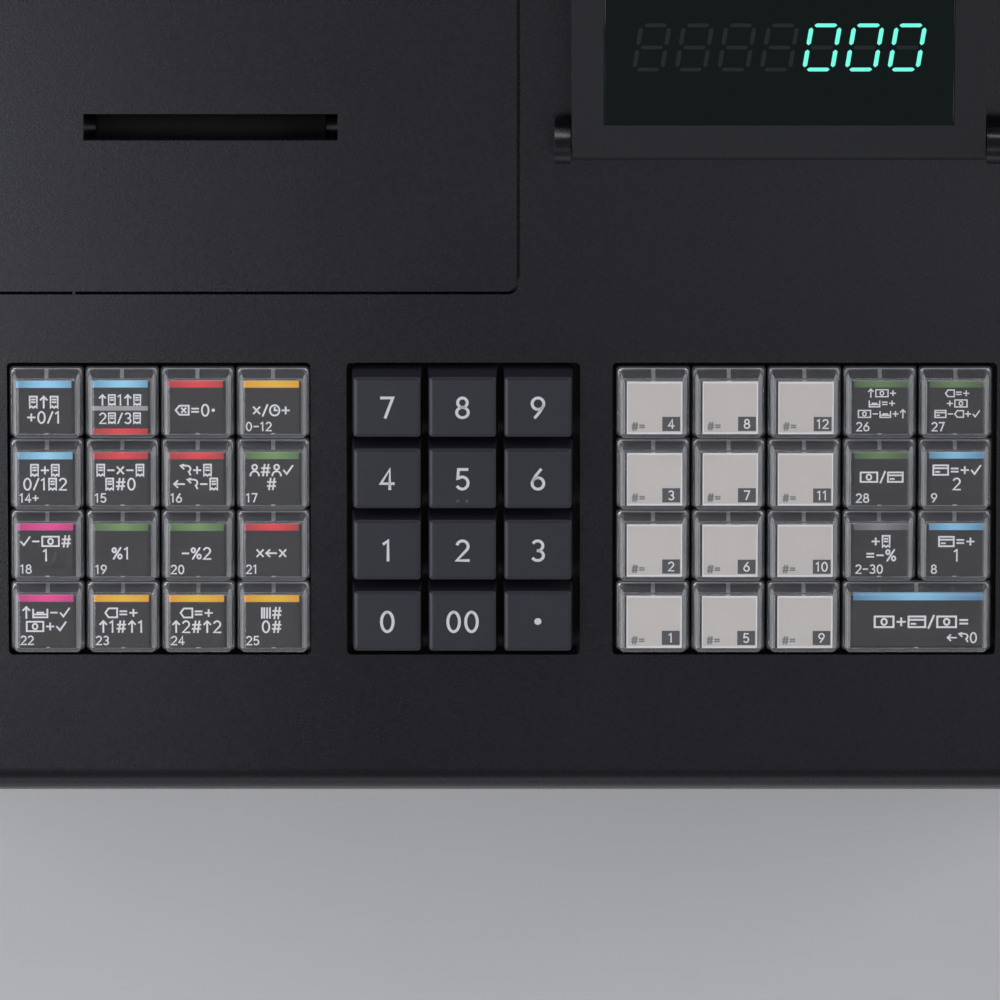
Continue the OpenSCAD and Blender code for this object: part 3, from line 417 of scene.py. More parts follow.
def circles(radius, height):
    """One circle of 24 points for each radius and height, at equal angles about the upright axis."""
    turn = np.linspace(0, 2 * math.pi, 24, endpoint=False)
    r, z = (np.reshape(value, (-1, 1)) for value in np.broadcast_arrays(radius, height))
    return np.stack([r * np.cos(turn), r * np.sin(turn), z + 0 * turn], -1)


def skin(loops):
    """Joins a stack of closed rings with four-cornered faces, one block of faces for each pair of
    rings, and shuts the first and the last ring, each in a block of its own."""
    count, around = loops.shape[:2]
    index = np.arange(count * around).reshape(count, around)
    ahead = np.roll(index, -1, 1)
    sides = np.stack([index[:-1], ahead[:-1], ahead[1:], index[1:]], -1)
    return loops.reshape(-1, 3), [*sides, index[:1, ::-1], index[-1:]]


def rounded_top(half_x, half_y, corner, top, edge, inside, steps=4):
    """Rings that round off the top edge of a block by a quarter circle, then one ring further in."""
    turn = np.radians(np.linspace(0, 90, steps + 1))
    draw_in = np.append(edge * (1 - np.cos(turn)), edge + inside)
    lift = np.append(edge * (np.sin(turn) - 1), 0)
    return rings(half_x - draw_in, half_y - draw_in, np.maximum(corner - draw_in, corner * 0.35), top + lift)


def arc(x, y, rx, ry, start, end, steps=13):
    """Points on an ellipse about (x, y), between two angles in degrees."""
    turn = np.radians(np.linspace(start, end, steps))
    return np.stack([x + rx * np.cos(turn), y + ry * np.sin(turn)], 1)


def path(*parts):
    """One line through points and arcs, in order."""
    return np.concatenate([np.asarray(p, float).reshape(-1, 2) for p in parts])


BOWL = arc(0, -0.21, 0.28, 0.29, 90, 450, 25)
GLYPHS = {  # advance, then the strokes, in a box one unit high about the middle
    "0": (0.86, [arc(0, 0, 0.28, 0.5, 90, 450, 29)]),
    "1": (0.62, [path((-0.17, 0.34), (0.04, 0.5), (0.04, -0.5))]),
    "2": (0.82, [path(arc(0, 0.22, 0.27, 0.28, 160, -38), (-0.28, -0.5), (0.3, -0.5))]),
    "3": (0.82, [arc(-0.01, 0.25, 0.25, 0.25, 145, -90), arc(-0.01, -0.25, 0.28, 0.25, 90, -145)]),
    "4": (0.86, [path((0.13, -0.5), (0.13, 0.5), (-0.3, -0.22), (0.32, -0.22))]),
    "5": (0.82, [path((0.24, 0.5), (-0.19, 0.5), (-0.23, 0.04), arc(-0.01, -0.19, 0.28, 0.31, 128, -145))]),
    "6": (0.84, [BOWL, path((0.14, 0.5), (-0.1, 0.19), (-0.25, -0.08))]),
    "7": (0.8, [path((-0.28, 0.5), (0.28, 0.5), (-0.08, -0.5))]),
    "8": (0.84, [arc(0, 0.26, 0.23, 0.24, -90, 270, 25), arc(0, -0.24, 0.28, 0.26, 90, 450, 25)]),
    "9": (0.84, [-BOWL, path((-0.14, -0.5), (0.1, -0.19), (0.25, 0.08))]),
    ".": (0.5, [arc(0, 0, 0.07, 0.07, 0, 360, 13)]),
}


def ribbon(line, width):
    """A flat stripe of one width along a line: each point moves half the width to both sides, square
    to the mean direction of its neighbours and further at sharp corners."""
    step = np.diff(line, axis=0)
    step /= np.linalg.norm(step, axis=1)[:, None]
    before, after = np.vstack([step[:1], step]), np.vstack([step, step[-1:]])
    along = before + after
    along /= np.maximum(np.linalg.norm(along, axis=1), 1e-9)[:, None]
    across = np.stack([-along[:, 1], along[:, 0]], 1)
    stretch = 1 / np.maximum((along * after).sum(1), 0.6)
    line = line.copy()
    line[0] -= step[0] * width * 0.3
    line[-1] += step[-1] * width * 0.3
    offset = across * (stretch * width / 2)[:, None]
    return line + offset, line - offset


def legend(text, middle, height, stroke, level, pick):
    """Shells of ink for one line of figures, centred on a point of a key's top."""
    advance = [GLYPHS[c][0] for c in text]
    at = middle[0] - sum(advance) * height / 2
    shells = []
    for c, wide in zip(text, advance):
        at += wide * height / 2
        for line in GLYPHS[c][1]:
            n = len(line)
            flat = np.vstack(ribbon(line * height + (at, middle[1]), stroke))
            points = np.column_stack([flat, np.full(2 * n, level)])
            i = np.arange(n - 1)
            shells.append((points, [np.stack([i, i + n, i + n + 1, i + 1], 1)], pick))
        at += wide * height / 2
    return shells


def build(name, shells, materials, body, place, replaced=(), sharp=30.0, uv=None):
    """A piece on the deck from shells. Each shell is its points, its blocks of faces, and a material
    number for the whole shell or one for each block."""
    faces, picks, start = [], [], 0
    for points, blocks, pick in shells:
        for block, number in zip(blocks, np.broadcast_to(pick, len(blocks)).tolist()):
            faces += (block + start).tolist()
            picks += [number] * len(block)
        start += len(points)
    flat = np.vstack([points for points, blocks, pick in shells])
    mesh = bpy.data.meshes.new(name)
    mesh.from_pydata(on_deck(flat, *place).tolist(), [], faces)
    mesh.polygons.foreach_set("material_index", picks)
    if uv is not None:
        corners = np.zeros(len(mesh.loops), np.int32)
        mesh.loops.foreach_get("vertex_index", corners)
        places = uv(flat)[corners].astype(np.float32)
        mesh.uv_layers.new(name="across").data.foreach_set("uv", places.ravel())
    return show(name, mesh, materials, body, replaced, sharp)


def stem_shell(x, bottom, top):
    """A square stem with its lower end drawn in, and a snap barb at both sides near the end."""
    half = np.array((0.8, 1, 1)) * STEM_HALF
    stem = rings(half, half, 2 * EASE, [bottom, bottom + 0.5 * mm, top], 3)
    reach = np.array((0.5, 1, 1)) * BARB_REACH
    barb = rings(STEM_HALF + reach, BARB_HALF, EASE, bottom + np.array((0.02, 0.3, 0.65)) * mm, 3)
    return [(*skin(part + (x, 0, 0)), 0) for part in (stem, barb)]


satin = (0.4, 0.6 * mm, 0.006 * mm, 0.16, 0.06)
number_plastic = moulded("dark_satin_key_plastic", (0.0295, 0.0300, 0.0395), *satin)
# The 5's two touch bumps are painted lighter than the key: a painted highlight on their domes.
touch_mark_highlight_plastic = moulded("touch_marks_painted_highlight", (0.085, 0.086, 0.098), *satin)
white_ink = plain("white_key_ink", (0.80, 0.80, 0.79), (0.5 * mm,), (0.92, 0.14), 0.5)
FIGURES = {"number_key_point": ".", **{"number_key_" + n: n for n in ("00", *"0123456789")}}
for node, text in FIGURES.items():
    half, place, stem_end, stems = key_box(node)
    skirt = half - np.array((EASE, 0))
    body_rings = np.concatenate([
        rings(skirt, skirt, NUMBER_CORNER, np.array((0, EASE)) - KEY_SKIRT),
        rings(half - NUMBER_DRAFT[0] - NUMBER_EDGE_IN, half - NUMBER_DRAFT[1] - NUMBER_EDGE_IN,
              NUMBER_CORNER, NUMBER_RISE - NUMBER_EDGE_DROP)])
    shells = [(*skin(body_rings), 0)] + stem_shell(0, stem_end, SUNK - KEY_SKIRT)
    level = NUMBER_RISE + INK_RISE
    if text == ".":
        shells.append((circles(POINT_RADIUS, level)[0], [np.arange(24)[None]], 1))
    else:
        shells += legend(text, (0, -0.1 * mm), DIGIT_HEIGHT, DIGIT_STROKE, level, 1)
    materials = [number_plastic, white_ink]
    if text == "5":
        materials.append(touch_mark_highlight_plastic)
        # the bumps take the lighter colour, a painted highlight
        for x, y in TOUCH_MARKS:
            slope = np.radians(np.linspace(0, 75, 4))
            bump = circles(TOUCH_RADIUS * np.cos(slope), NUMBER_RISE + TOUCH_RISE * np.sin(slope) - SUNK)
            shells.append((*skin(bump + (x, y, 0)), 2))
    build(node + "_cap", shells, materials, node, place, [node])

# ---- Card keys ----
# Thirty-five keys at the sides. Each is a dark grey plunger with a stem, a printed card laid on it,
# and a clear acrylic cap snapped over both. The total key is two pitches wide and has two stems.
CAP_RISE = 5.2 * mm
CAP_TOP = 0.9 * mm
CAP_WALL = 0.8 * mm
CAP_DRAFT = np.array((0.65, 0.9)) * mm
CAP_FOOT = -0.4 * mm
CAP_CORNER, INNER_CORNER = 1.1 * mm, 0.6 * mm
CAP_EDGE = 0.45 * mm
FLANGE_TOP = -0.5 * mm
BOSS_GAP = 0.3 * mm
CARD_BOTTOM, CARD_TOP = 4.0 * mm, 4.18 * mm
CARD_INSET = 1.95 * mm
CARD_SLACK = 0.06 * mm
CARD_RIM = 0.5 * mm
CARD_PUSH = {"function": np.array((-0.46, 0.15)) * mm, "preset": np.array((0.38, -0.1)) * mm,
             "tender": np.array((0.48, 0.15)) * mm, "total": np.array((0.48, 0.4)) * mm}
PRINT_RISE = 0.02 * mm
SPLIT_CARD, SPLIT_REACH = "function_key_1_2", 0.4 * mm
SPLIT_LINE = np.array((-1.0, 0.2)) * mm
SLIPPED_CARD, SLIPPED_BY = "function_key_1_1", 0.25 * mm
TAB = np.array((2.25, 1.9)) * mm
TAB_PLACE = np.array((2.8, 2.75)) * mm
TAB_FIGURES = 2.3 * mm
HINT_PLACE = np.array((2.9, 2.1)) * mm
HINT_HEIGHT, HINT_STROKE = 2.0 * mm, 0.42 * mm
FLANGE_SPREAD = 0.35 * mm
STRIPE_WIDTHS = {"function": 1.87 * mm, "tender": 1.75 * mm, "total": 1.75 * mm}
LEGEND_HEIGHT, LEGEND_STROKE = 3.0 * mm, 0.44 * mm
SMALL_HEIGHT, SMALL_STROKE = 2.2 * mm, 0.36 * mm
SMALL_MARGIN, SMALL_DROP = 0.4 * mm, 5.2 * mm
TOTAL_SHIFT = 0.7 * mm
TOTAL_HINT = ("<r0", (11.6 * mm, -4.3 * mm), 2.6 * mm, 0.4 * mm)

GLYPHS |= {
    "%": (1.0, [path((-0.3, -0.5), (0.3, 0.5)), arc(-0.24, 0.28, 0.15, 0.19, 0, 360, 17),
                arc(0.24, -0.28, 0.15, 0.19, 0, 360, 17)]),
    "#": (0.95, [path((-0.22, -0.5), (-0.08, 0.5)), path((0.1, -0.5), (0.24, 0.5)),
                 path((-0.33, 0.18), (0.35, 0.18)), path((-0.36, -0.18), (0.32, -0.18))]),
    "x": (0.8, [path((-0.26, -0.3), (0.26, 0.3)), path((-0.26, 0.3), (0.26, -0.3))]),
    "+": (0.85, [path((-0.3, 0), (0.3, 0)), path((0, -0.3), (0, 0.3))]),
    "-": (0.8, [path((-0.26, 0), (0.26, 0))]),
    "=": (0.85, [path((-0.28, 0.14), (0.28, 0.14)), path((-0.28, -0.14), (0.28, -0.14))]),
    "/": (0.62, [path((-0.2, -0.5), (0.2, 0.5))]),
    "^": (0.85, [path((0, -0.5), (0, 0.48)), path((-0.28, 0.2), (0, 0.5), (0.28, 0.2))]),
    "<": (1.1, [path((0.42, 0), (-0.42, 0)), path((-0.14, 0.3), (-0.44, 0), (-0.14, -0.3))]),
    "o": (1.0, [arc(0, 0, 0.4, 0.46, 0, 360, 25), path((0, 0.26), (0, 0), (0.2, 0))]),
    "b": (1.3, [path((-0.56, 0), (-0.24, 0.4), (0.54, 0.4), (0.54, -0.4), (-0.24, -0.4), (-0.56, 0)),
                path((-0.06, 0.2), (0.3, -0.2)), path((-0.06, -0.2), (0.3, 0.2))]),
    "r": (1.1, [path((0.42, -0.4), arc(0.12, 0.12, 0.3, 0.28, -60, 90), (-0.4, 0.4)),
                path((-0.14, 0.12), (-0.42, 0.4), (-0.14, 0.5))]),
    "h": (0.9, [path((-0.3, 0.5), (-0.3, -0.5), (-0.15, -0.36), (0, -0.5), (0.15, -0.36), (0.3, -0.5),
                     (0.3, 0.5), (-0.3, 0.5)),
                path((-0.14, 0.24), (0.14, 0.24)), path((-0.14, 0), (0.14, 0))]),
    "m": (1.7, [path((-0.7, 0.42), (0.7, 0.42), (0.7, -0.42), (-0.7, -0.42), (-0.7, 0.42)),
                arc(0, 0, 0.2, 0.24, 0, 360, 21)]),
    "c": (1.5, [path((-0.62, 0.42), (0.62, 0.42), (0.62, -0.42), (-0.62, -0.42), (-0.62, 0.42)),
                path((-0.6, 0.16), (0.6, 0.16)), path((-0.42, -0.16), (-0.1, -0.16))]),
    "k": (1.0, [path((-0.36, -0.02), (-0.1, -0.34), (0.4, 0.4))]),
    "p": (0.9, [arc(0, 0.26, 0.2, 0.22, 0, 360, 21), path((-0.36, -0.5), arc(0, -0.5, 0.36, 0.4, 180, 0))]),
    "t": (1.2, [path((-0.5, 0), (-0.22, 0.4), (0.5, 0.4), (0.5, -0.4), (-0.22, -0.4), (-0.5, 0))]),
    "d": (1.5, [path((-0.6, 0.3), (-0.6, -0.42), (0.6, -0.42), (0.6, 0.3)), path((-0.28, 0), (0.28, 0)),
                path((-0.6, -0.16), (0.6, -0.16))]),
    "|": (0.9, [path((x, -0.45), (x, 0.45)) for x in (-0.34, -0.14, 0.1, 0.34)]),
}


def acrylic(name, clearness, colour, roughness):
    """Cap acrylic: clear where it is polished, a little milky where it left the mould's sides. Light
    passes it almost unweakened on its way to the card."""
    finish = Finish(name)
    finish.surface(Base_Color=colour, Roughness=roughness, IOR=1.49, Transmission_Weight=clearness)
    see_through = finish.node("BsdfTransparent", {}, {"Color": (0.96, 0.96, 0.96)})
    is_shadow = finish.node("LightPath", output="Is Shadow Ray")
    glass = Socket(finish, finish.shader.outputs[0])
    mixed = finish.node("MixShader", {}, {0: is_shadow, 1: glass, 2: see_through})
    finish.put(finish.end.inputs["Surface"], mixed)
    return finish.material


ACRYLICS = [acrylic("clear_cap_acrylic", 1.0, (0.985, 0.985, 0.985), 0.04),
            acrylic("milky_cap_acrylic", 0.92, (0.95, 0.955, 0.96), 0.15),
            acrylic("frosted_cap_acrylic", 0.72, (0.95, 0.955, 0.96), 0.3)]
CLEAR, MILKY, FROSTED = 0, 1, 2


def card_stock(name, colour):
    """Printed card: a matt colour with the faint fibre of the stock."""
    return plain(name, colour, (0.4 * mm, 4, 0.7), (0.93, 0.14), 0.62)


def stripe_print(name, edge, middle):
    """A printed stripe with a painted highlight: its colour is lightest in its middle, by the card's own
    width.
    """
    finish = Finish(name)
    across = finish.node("SeparateXYZ", {}, {0: finish.node("UVMap", {"uv_map": "across"})})
    tone = finish.node("ValToRGB", {"stops": [(0.0, edge), (0.45, middle), (0.55, middle), (1.0, edge)]},
                       {0: across})
    return finish.surface(Base_Color=tone, Roughness=0.5)


# Each stripe's printed colour at its edges, then the lighter colour of its middle, which is a painted
# highlight
STRIPES = {
    "blue": stripe_print("blue_stripe", (0.115, 0.285, 0.44), (0.32, 0.67, 0.87)),
    "deep_blue": stripe_print("deep_blue_stripe", (0.085, 0.19, 0.32), (0.255, 0.57, 0.77)),
    "red": stripe_print("red_stripe", (0.33, 0.045, 0.049), (0.78, 0.069, 0.074)),
    "orange": stripe_print("orange_stripe", (0.77, 0.31, 0.036), (0.83, 0.51, 0.045)),
    "green": stripe_print("green_stripe", (0.068, 0.122, 0.062), (0.19, 0.32, 0.12)),
    "deep_green": stripe_print("deep_green_stripe", (0.054, 0.092, 0.052), (0.15, 0.245, 0.1)),
    "magenta": stripe_print("magenta_stripe", (0.45, 0.049, 0.195), (0.84, 0.078, 0.305)),
    "grey": stripe_print("grey_stripe", (0.085, 0.085, 0.088), (0.24, 0.24, 0.245)),
}
black_card = card_stock("black_card", (0.044, 0.043, 0.044))
pale_card = card_stock("warm_grey_card", (0.561, 0.526, 0.489))
pale_edge = card_stock("pale_card_edge", (0.74, 0.72, 0.705))
card_ink = card_stock("light_card_ink", (0.78, 0.78, 0.78))
dark_ink = card_stock("dark_card_ink", (0.085, 0.085, 0.088))
grey_ink = card_stock("grey_card_ink", (0.36, 0.35, 0.34))
faint_ink = card_stock("faint_card_ink", (0.2, 0.195, 0.19))

# For each card the colour of its stripe, its lines of signs from the rear, and its small figures
FUNCTION_CARDS = [
    [("blue", ["h^h", "+0/1"], ""), ("blue", ["^h1^h", "2h/3h"], ""), ("red", ["b=0."], ""),
     ("orange", ["x/o+"], "0-12")],
    [("blue", ["h+h", "0/1h2"], "14+"), ("red", ["h-x-h", "h#0"], "15"), ("red", ["r+h", "<r-h"], "16"),
     ("green", ["p#pk", "#"], "17")],
    [("magenta", ["k-m#", "1"], "18"), ("green", ["%1"], "19"), ("green", ["-%2"], "20"),
     ("red", ["x<x"], "21")],
    [("magenta", ["^d-k", "m+k"], "22"), ("orange", ["t=+", "^1#^1"], "23"),
     ("orange", ["t=+", "^2#^2"], "24"), ("orange", ["|#", "0#"], "25")],
]
TENDER_CARDS = [
    [("deep_green", ["^m+", "d=+", "m-d+^"], "26"), ("deep_green", ["t=+", "+m", "c-t+k"], "27")],
    [("deep_green", ["m/c"], "28"), ("deep_blue", ["c=+k", "2"], "9")],
    [("grey", ["+h", "=-%"], "2-30"), ("deep_blue", ["c=+", "1"], "8")],
]
LEGENDS = {"total_key": ("deep_blue", ["m+c/m="], "")}
for group, cards in (("function", FUNCTION_CARDS), ("tender", TENDER_CARDS)):
    for row, line in enumerate(cards, 1):
        LEGENDS |= {f"{group}_key_{row}_{column}": card for column, card in enumerate(line, 1)}
LEGENDS |= {f"preset_key_{number}": ("", [], str(number)) for number in range(1, 13)}


def cap_shell(half):
    """A clear cap: from the flat of its ceiling down the inner wall, round the foot, up the outer
    wall and over the rounded top edge, as one closed skin. Its sides are milky; inside, the left and
    right walls end frosted under the ceiling, the front and rear ones are clear, and so is the top.
    The foot is frosted at the rear."""
    roof, wall = half - CAP_DRAFT, half - CAP_WALL
    inner = rounded_top(*(roof - CAP_WALL), 0.5 * mm, CAP_RISE - CAP_TOP, 0.3 * mm, 0.3 * mm, 3)[::-1]
    lip = 0.15 * mm
    middle = rings(*(wall - CAP_DRAFT * 0.45), 0.55 * mm, CAP_RISE * 0.4)
    foot = rings([wall[0], half[0] - lip, half[0]], [wall[1], half[1] - lip, half[1]],
                 [INNER_CORNER, CAP_CORNER, CAP_CORNER], [CAP_FOOT, CAP_FOOT, CAP_FOOT + lip])
    outer = rounded_top(*roof, CAP_CORNER, CAP_RISE, CAP_EDGE, 0.6 * mm)
    points, blocks = skin(np.concatenate([inner, middle, foot, outer]))
    picks = [CLEAR] + [MILKY] * (len(blocks) - 4) + [CLEAR] * 3
    upper_wall = len(inner) - 1
    lower_wall, under, lip_side = range(upper_wall + 1, upper_wall + 4)
    picks[upper_wall] = FROSTED
    rear, front = range(2, 7), range(12, 17)
    for block, chosen, pick in ((upper_wall, [*rear, *front], CLEAR), (lower_wall, [*rear, *front], CLEAR),
                                (under, [*rear], FROSTED), (lip_side, [*rear], FROSTED)):
        blocks.append(blocks[block][chosen])
        blocks[block] = np.delete(blocks[block], chosen, 0)
        picks.append(pick)
    return points, blocks, picks


def cap_ribs(half):
    """Snap ribs on the inside of the cap's front and rear walls, in the middle."""
    thick, play = 0.2 * mm, 0.03 * mm
    low, high = half[1] - CAP_WALL, half[1] - CAP_WALL - CAP_DRAFT[1]
    for side in (-1, 1):
        rib = rings(0.5 * mm, thick, 0.08 * mm, [CAP_FOOT + 0.1 * mm, CAP_RISE - CAP_TOP - 0.5 * mm], 3)
        rib[0, :, 1] += side * (low - thick - play)
        rib[1, :, 1] += side * (high - thick - play)
        yield (*skin(rib), FROSTED)


def card_shells(low, high, bands):
    """A thin card between two corners. Its top is cut across into bands, each given as the line
    where it ends and its material number; the sides and the underside are one more shell."""
    lines = np.array([low[1]] + [end for end, pick in bands])
    count = len(lines)
    across = np.tile([low[0], high[0]], count)
    top = np.column_stack([across, np.repeat(lines, 2), np.full(2 * count, CARD_TOP)])
    base = np.column_stack([top[[0, 1, -1, -2], :2], np.full(4, CARD_BOTTOM)])
    points = np.vstack([top, base])
    a, b, c, d = range(2 * count, 2 * count + 4)
    left, right = np.arange(0, 2 * count, 2), np.arange(1, 2 * count, 2)
    sides = [(a, b, 1, 0), (c, d, *left[-1:], *right[-1:]), (d, c, b, a), (*right, c, b)[::-1], (*left, d, a)]
    shells = [(points, [np.array([side]) for side in sides], 0)]
    for k, (end, pick) in enumerate(bands):
        shells.append((points[[2 * k, 2 * k + 1, 2 * k + 3, 2 * k + 2]], [np.arange(4)[None]], pick))
    return shells


def flat_box(low, high, level, pick):
    """A printed rectangle between two corners."""
    points = [(*low, level), (high[0], low[1], level), (*high, level), (low[0], high[1], level)]
    return np.array(points), [np.arange(4)[None]], pick


def plunger_shells(half, stems, stem_end):
    """The grey foot of a key: a flange that shows round the cap, and a boss that leans in under the
    card."""
    spread = FLANGE_SPREAD - np.array((1, 0, 0, 0.5)) * EASE
    flange = rings(half[0] + spread, half[1] + spread, CAP_CORNER,
                   [-KEY_SKIRT, EASE - KEY_SKIRT, FLANGE_TOP - EASE / 2, FLANGE_TOP])
    foot = half - CAP_WALL - BOSS_GAP
    boss = np.concatenate([
        rings(*foot, INNER_CORNER, FLANGE_TOP - SUNK),
        rounded_top(*(foot - CAP_DRAFT), INNER_CORNER, CARD_BOTTOM - SUNK, EASE, EASE, 2)])
    shells = [(*skin(flange), 0), (*skin(boss), 0)]
    for x in stems:
        shells += stem_shell(x, stem_end, SUNK - KEY_SKIRT)
    return shells


def card_lines(node, lines, small):
    """The height of a card's signs, and how far each line of them lies behind the card's middle."""
    if node == "total_key":
        return 1.13 * LEGEND_HEIGHT, [-0.5 * mm]
    if node == SPLIT_CARD:
        return 0.9 * LEGEND_HEIGHT, [1.8 * mm, -3.05 * mm]
    if len(lines) == 3:
        return 0.73 * LEGEND_HEIGHT, [3.7 * mm, 1.0 * mm, -1.8 * mm]
    if len(lines) == 2:
        return LEGEND_HEIGHT, [2.2 * mm, -1.5 * mm] if small else [1.3 * mm, -2.75 * mm]
    return LEGEND_HEIGHT, [0.4 * mm if node.startswith("tender") else -0.9 * mm]


key_depth = np.ptp([corner[1] for corner in deck_box("number_key_5")])
slips = np.random.default_rng(7)  # seeded, so that each run lays the cards the same


def printed_card(node, half, stripe, lines, small):
    """The shells of one card with its stripe and signs, or of a bare pale card with its number."""
    slip = slips.uniform(-CARD_SLACK, CARD_SLACK, 2) + CARD_PUSH[node.split("_")[0]]
    slip[0] -= SLIPPED_BY if node == SLIPPED_CARD else 0
    low, high = CARD_INSET - half + slip, half - CARD_INSET + slip
    level = CARD_TOP + PRINT_RISE
    if not stripe:
        near, far = low[1] + CARD_RIM, high[1] - CARD_RIM
        shells = card_shells(low, high, [(near, 1), (far, 0), (high[1], 1)])
        shells += [flat_box((x, near), (x + 0.6 * CARD_RIM, far), level, 1)
                   for x in (low[0], high[0] - 0.6 * CARD_RIM)]
        tab = np.array((high[0], low[1])) + TAB_PLACE * (-1, 1)
        shells.append(flat_box(tab - TAB, tab + TAB, level, 2))
        shells += legend(small, tab, TAB_FIGURES, SMALL_STROKE, level + PRINT_RISE, 3)
        shells += legend("#=", low + HINT_PLACE, HINT_HEIGHT, HINT_STROKE, level, 4)
        return shells, [pale_card, pale_edge, dark_ink, card_ink, faint_ink]
    wide = STRIPE_WIDTHS[node.split("_")[0]]
    bands = [(high[1] - wide, 0), (high[1], 1)]
    if node == SPLIT_CARD:
        low = low - (0, SPLIT_REACH)
        bands = [(low[1] + 0.87 * wide, 2), *zip(slip[1] + SPLIT_LINE, (0, 4))] + bands
    shells = card_shells(low, high, bands)
    height, places = card_lines(node, lines, small)
    for text, place in zip(lines, places):
        shells += legend(text, slip + (TOTAL_SHIFT if node == "total_key" else 0, place), height,
                         LEGEND_STROKE * height / LEGEND_HEIGHT, level, 3)
    if node == "total_key":
        shells += legend(*TOTAL_HINT, level, 3)
    if small:
        middle = low[0] + SMALL_MARGIN + sum(GLYPHS[c][0] for c in small) * SMALL_HEIGHT / 2
        shells += legend(small, (middle, slip[1] - SMALL_DROP), SMALL_HEIGHT, SMALL_STROKE, level, 3)
    return shells, [black_card, STRIPES[stripe], STRIPES["red"], card_ink, grey_ink]


plunger_plastic = moulded("grey_plunger_plastic", (0.036, 0.036, 0.039), 0.5, 0.7 * mm, 0.008 * mm, 0.2, 0.15)
for node, (stripe, lines, small) in LEGENDS.items():
    half_width, place, stem_end, stems = key_box(node)
    half = np.array((half_width, key_depth / 2))
    build(node + "_plunger", plunger_shells(half, stems, stem_end), [plunger_plastic],
          node, place, [node])
    shells, materials = printed_card(node, half, stripe, lines, small)
    build(node + "_card", shells, materials, node, place, [node],
          uv=lambda points, whole=2 * half: points[:, :2] / whole + 0.5)
    build(node + "_clear_cap", [cap_shell(half), *cap_ribs(half)], ACRYLICS, node,
          place, [node], sharp=50.0)

# ---- Dome mat ----
# One sheet of grey silicone over the keyboard's circuit board. Under each stem it rises to a dome,
# a cone with a small round head.
MAT_THICK = 0.8 * mm
MAT_CORNER = 2.0 * mm
DOME_RADII = np.array((5.0, 5.0, 4.75, 3.35, 2.95, 2.6, 2.6, 2.4, 1.2)) * mm
DOME_LEVELS = np.array((-0.1, 0, 0.07, 0.7, 0.78, 0.81, 0.94, 1, 1))
FOLDED_GAP = 0.1 * mm

silicone = moulded("grey_silicone", (0.36, 0.37, 0.39), 0.6, 1.2 * mm, 0.01 * mm, 0.1, 0.1)
low, high = deck_box("dome_mat")
mat_half = (high - low) / 2
mat_bottom = low[2] - deck_level
mat_top = mat_bottom + MAT_THICK
dome_rise = high[2] - low[2] - MAT_THICK
sheet = rings(*mat_half[:2], MAT_CORNER, [mat_bottom, mat_top])
build("dome_mat_sheet", [(*skin(sheet), 0)], [silicone], "register",
      (low + mat_half)[:2], ["dome_mat"])
dome = circles(DOME_RADII, mat_top + dome_rise * DOME_LEVELS)
for node in [*FIGURES, *LEGENDS]:
    half_width, place, stem_end, stems = key_box(node)
    made = build(node + "_dome", [(*skin(dome + (x, 0, 0)), 0) for x in stems], [silicone], "register",
                 place, ["dome_mat"])
    travel = joints[node + "_press"]["range_m"][1]
    node + "_press"
    tuple(on_deck((0, 0, mat_top), *place))
    (stem_end - travel - FOLDED_GAP - mat_top) / dome_rise
    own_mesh(made)

# ---- Printer ----
# A flat grained cover on two rear hinges with the receipt slot and a steel tear bar. Under it a
# black bay holds the paper roll on its spindle, and two zinc plates carry the platen and print head.
dress_parts("printer_cover", [
    ("printer_cover_plate", lambda low, size: size[0] > 100 * mm, case_plastic, 0.35 * mm),
    ("tear_bar", lambda low, size: True, zinc, 0.15 * mm),
])
dress_parts("printer_mechanism", [
    ("paper_bay", lambda low, size: size[0] > 140 * mm, black_plastic, 0.3 * mm),
    ("printer_plates", lambda low, size: size[0] < 3 * mm, zinc, 0.2 * mm),
    ("printer_motor", lambda low, size: size[0] < 30 * mm, zinc, 0.8 * mm),
    ("platen_roller", lambda low, size: abs(size[0] - 58 * mm) < 0.5 * mm, rubber, 0.3 * mm),
    ("printer_shafts", lambda low, size: max(size[1:]) < 14 * mm, zinc, 0.2 * mm),
    ("print_head", lambda low, size: True, black_plastic, 0.4 * mm),
])

# ---- Paper roll ----
# Thermal paper wound on a board core. Its flat ends show the windings as fine rings.
roll_axis = Vector(joints["paper_roll_spin"]["pos_m"])
roll_low, roll_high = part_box("paper_roll")
roll_half = (roll_high.x - roll_low.x) / 2
roll_r = (roll_high.z - roll_low.z) / 2
CORE_R = 6.0 * mm
CORE_OUT = 7.6 * mm
ROLL_EDGE = 0.5 * mm


def turned(name, profile, material):
    """A piece of the paper roll: a profile of (distance along X, radius) turned about the roll's
    axis, and closed on itself."""
    x, r = np.array(profile).T[:, :, None]
    turn = np.linspace(0, 2 * math.pi, 72, endpoint=False)
    points = np.stack([x + 0 * turn, r * np.cos(turn), r * np.sin(turn)], -1) + tuple(roll_axis)
    index = np.arange(points.size // 3).reshape(points.shape[:2])
    ahead = np.roll(index, -1, 1)
    faces = np.stack([index, ahead, np.roll(ahead, -1, 0), np.roll(index, -1, 0)], -1)
    mesh = bpy.data.meshes.new(name)
    mesh.from_pydata(points.reshape(-1, 3).tolist(), [], faces.reshape(-1, 4).tolist())
    show(name, mesh, [material], "paper_roll", ["paper_roll"])


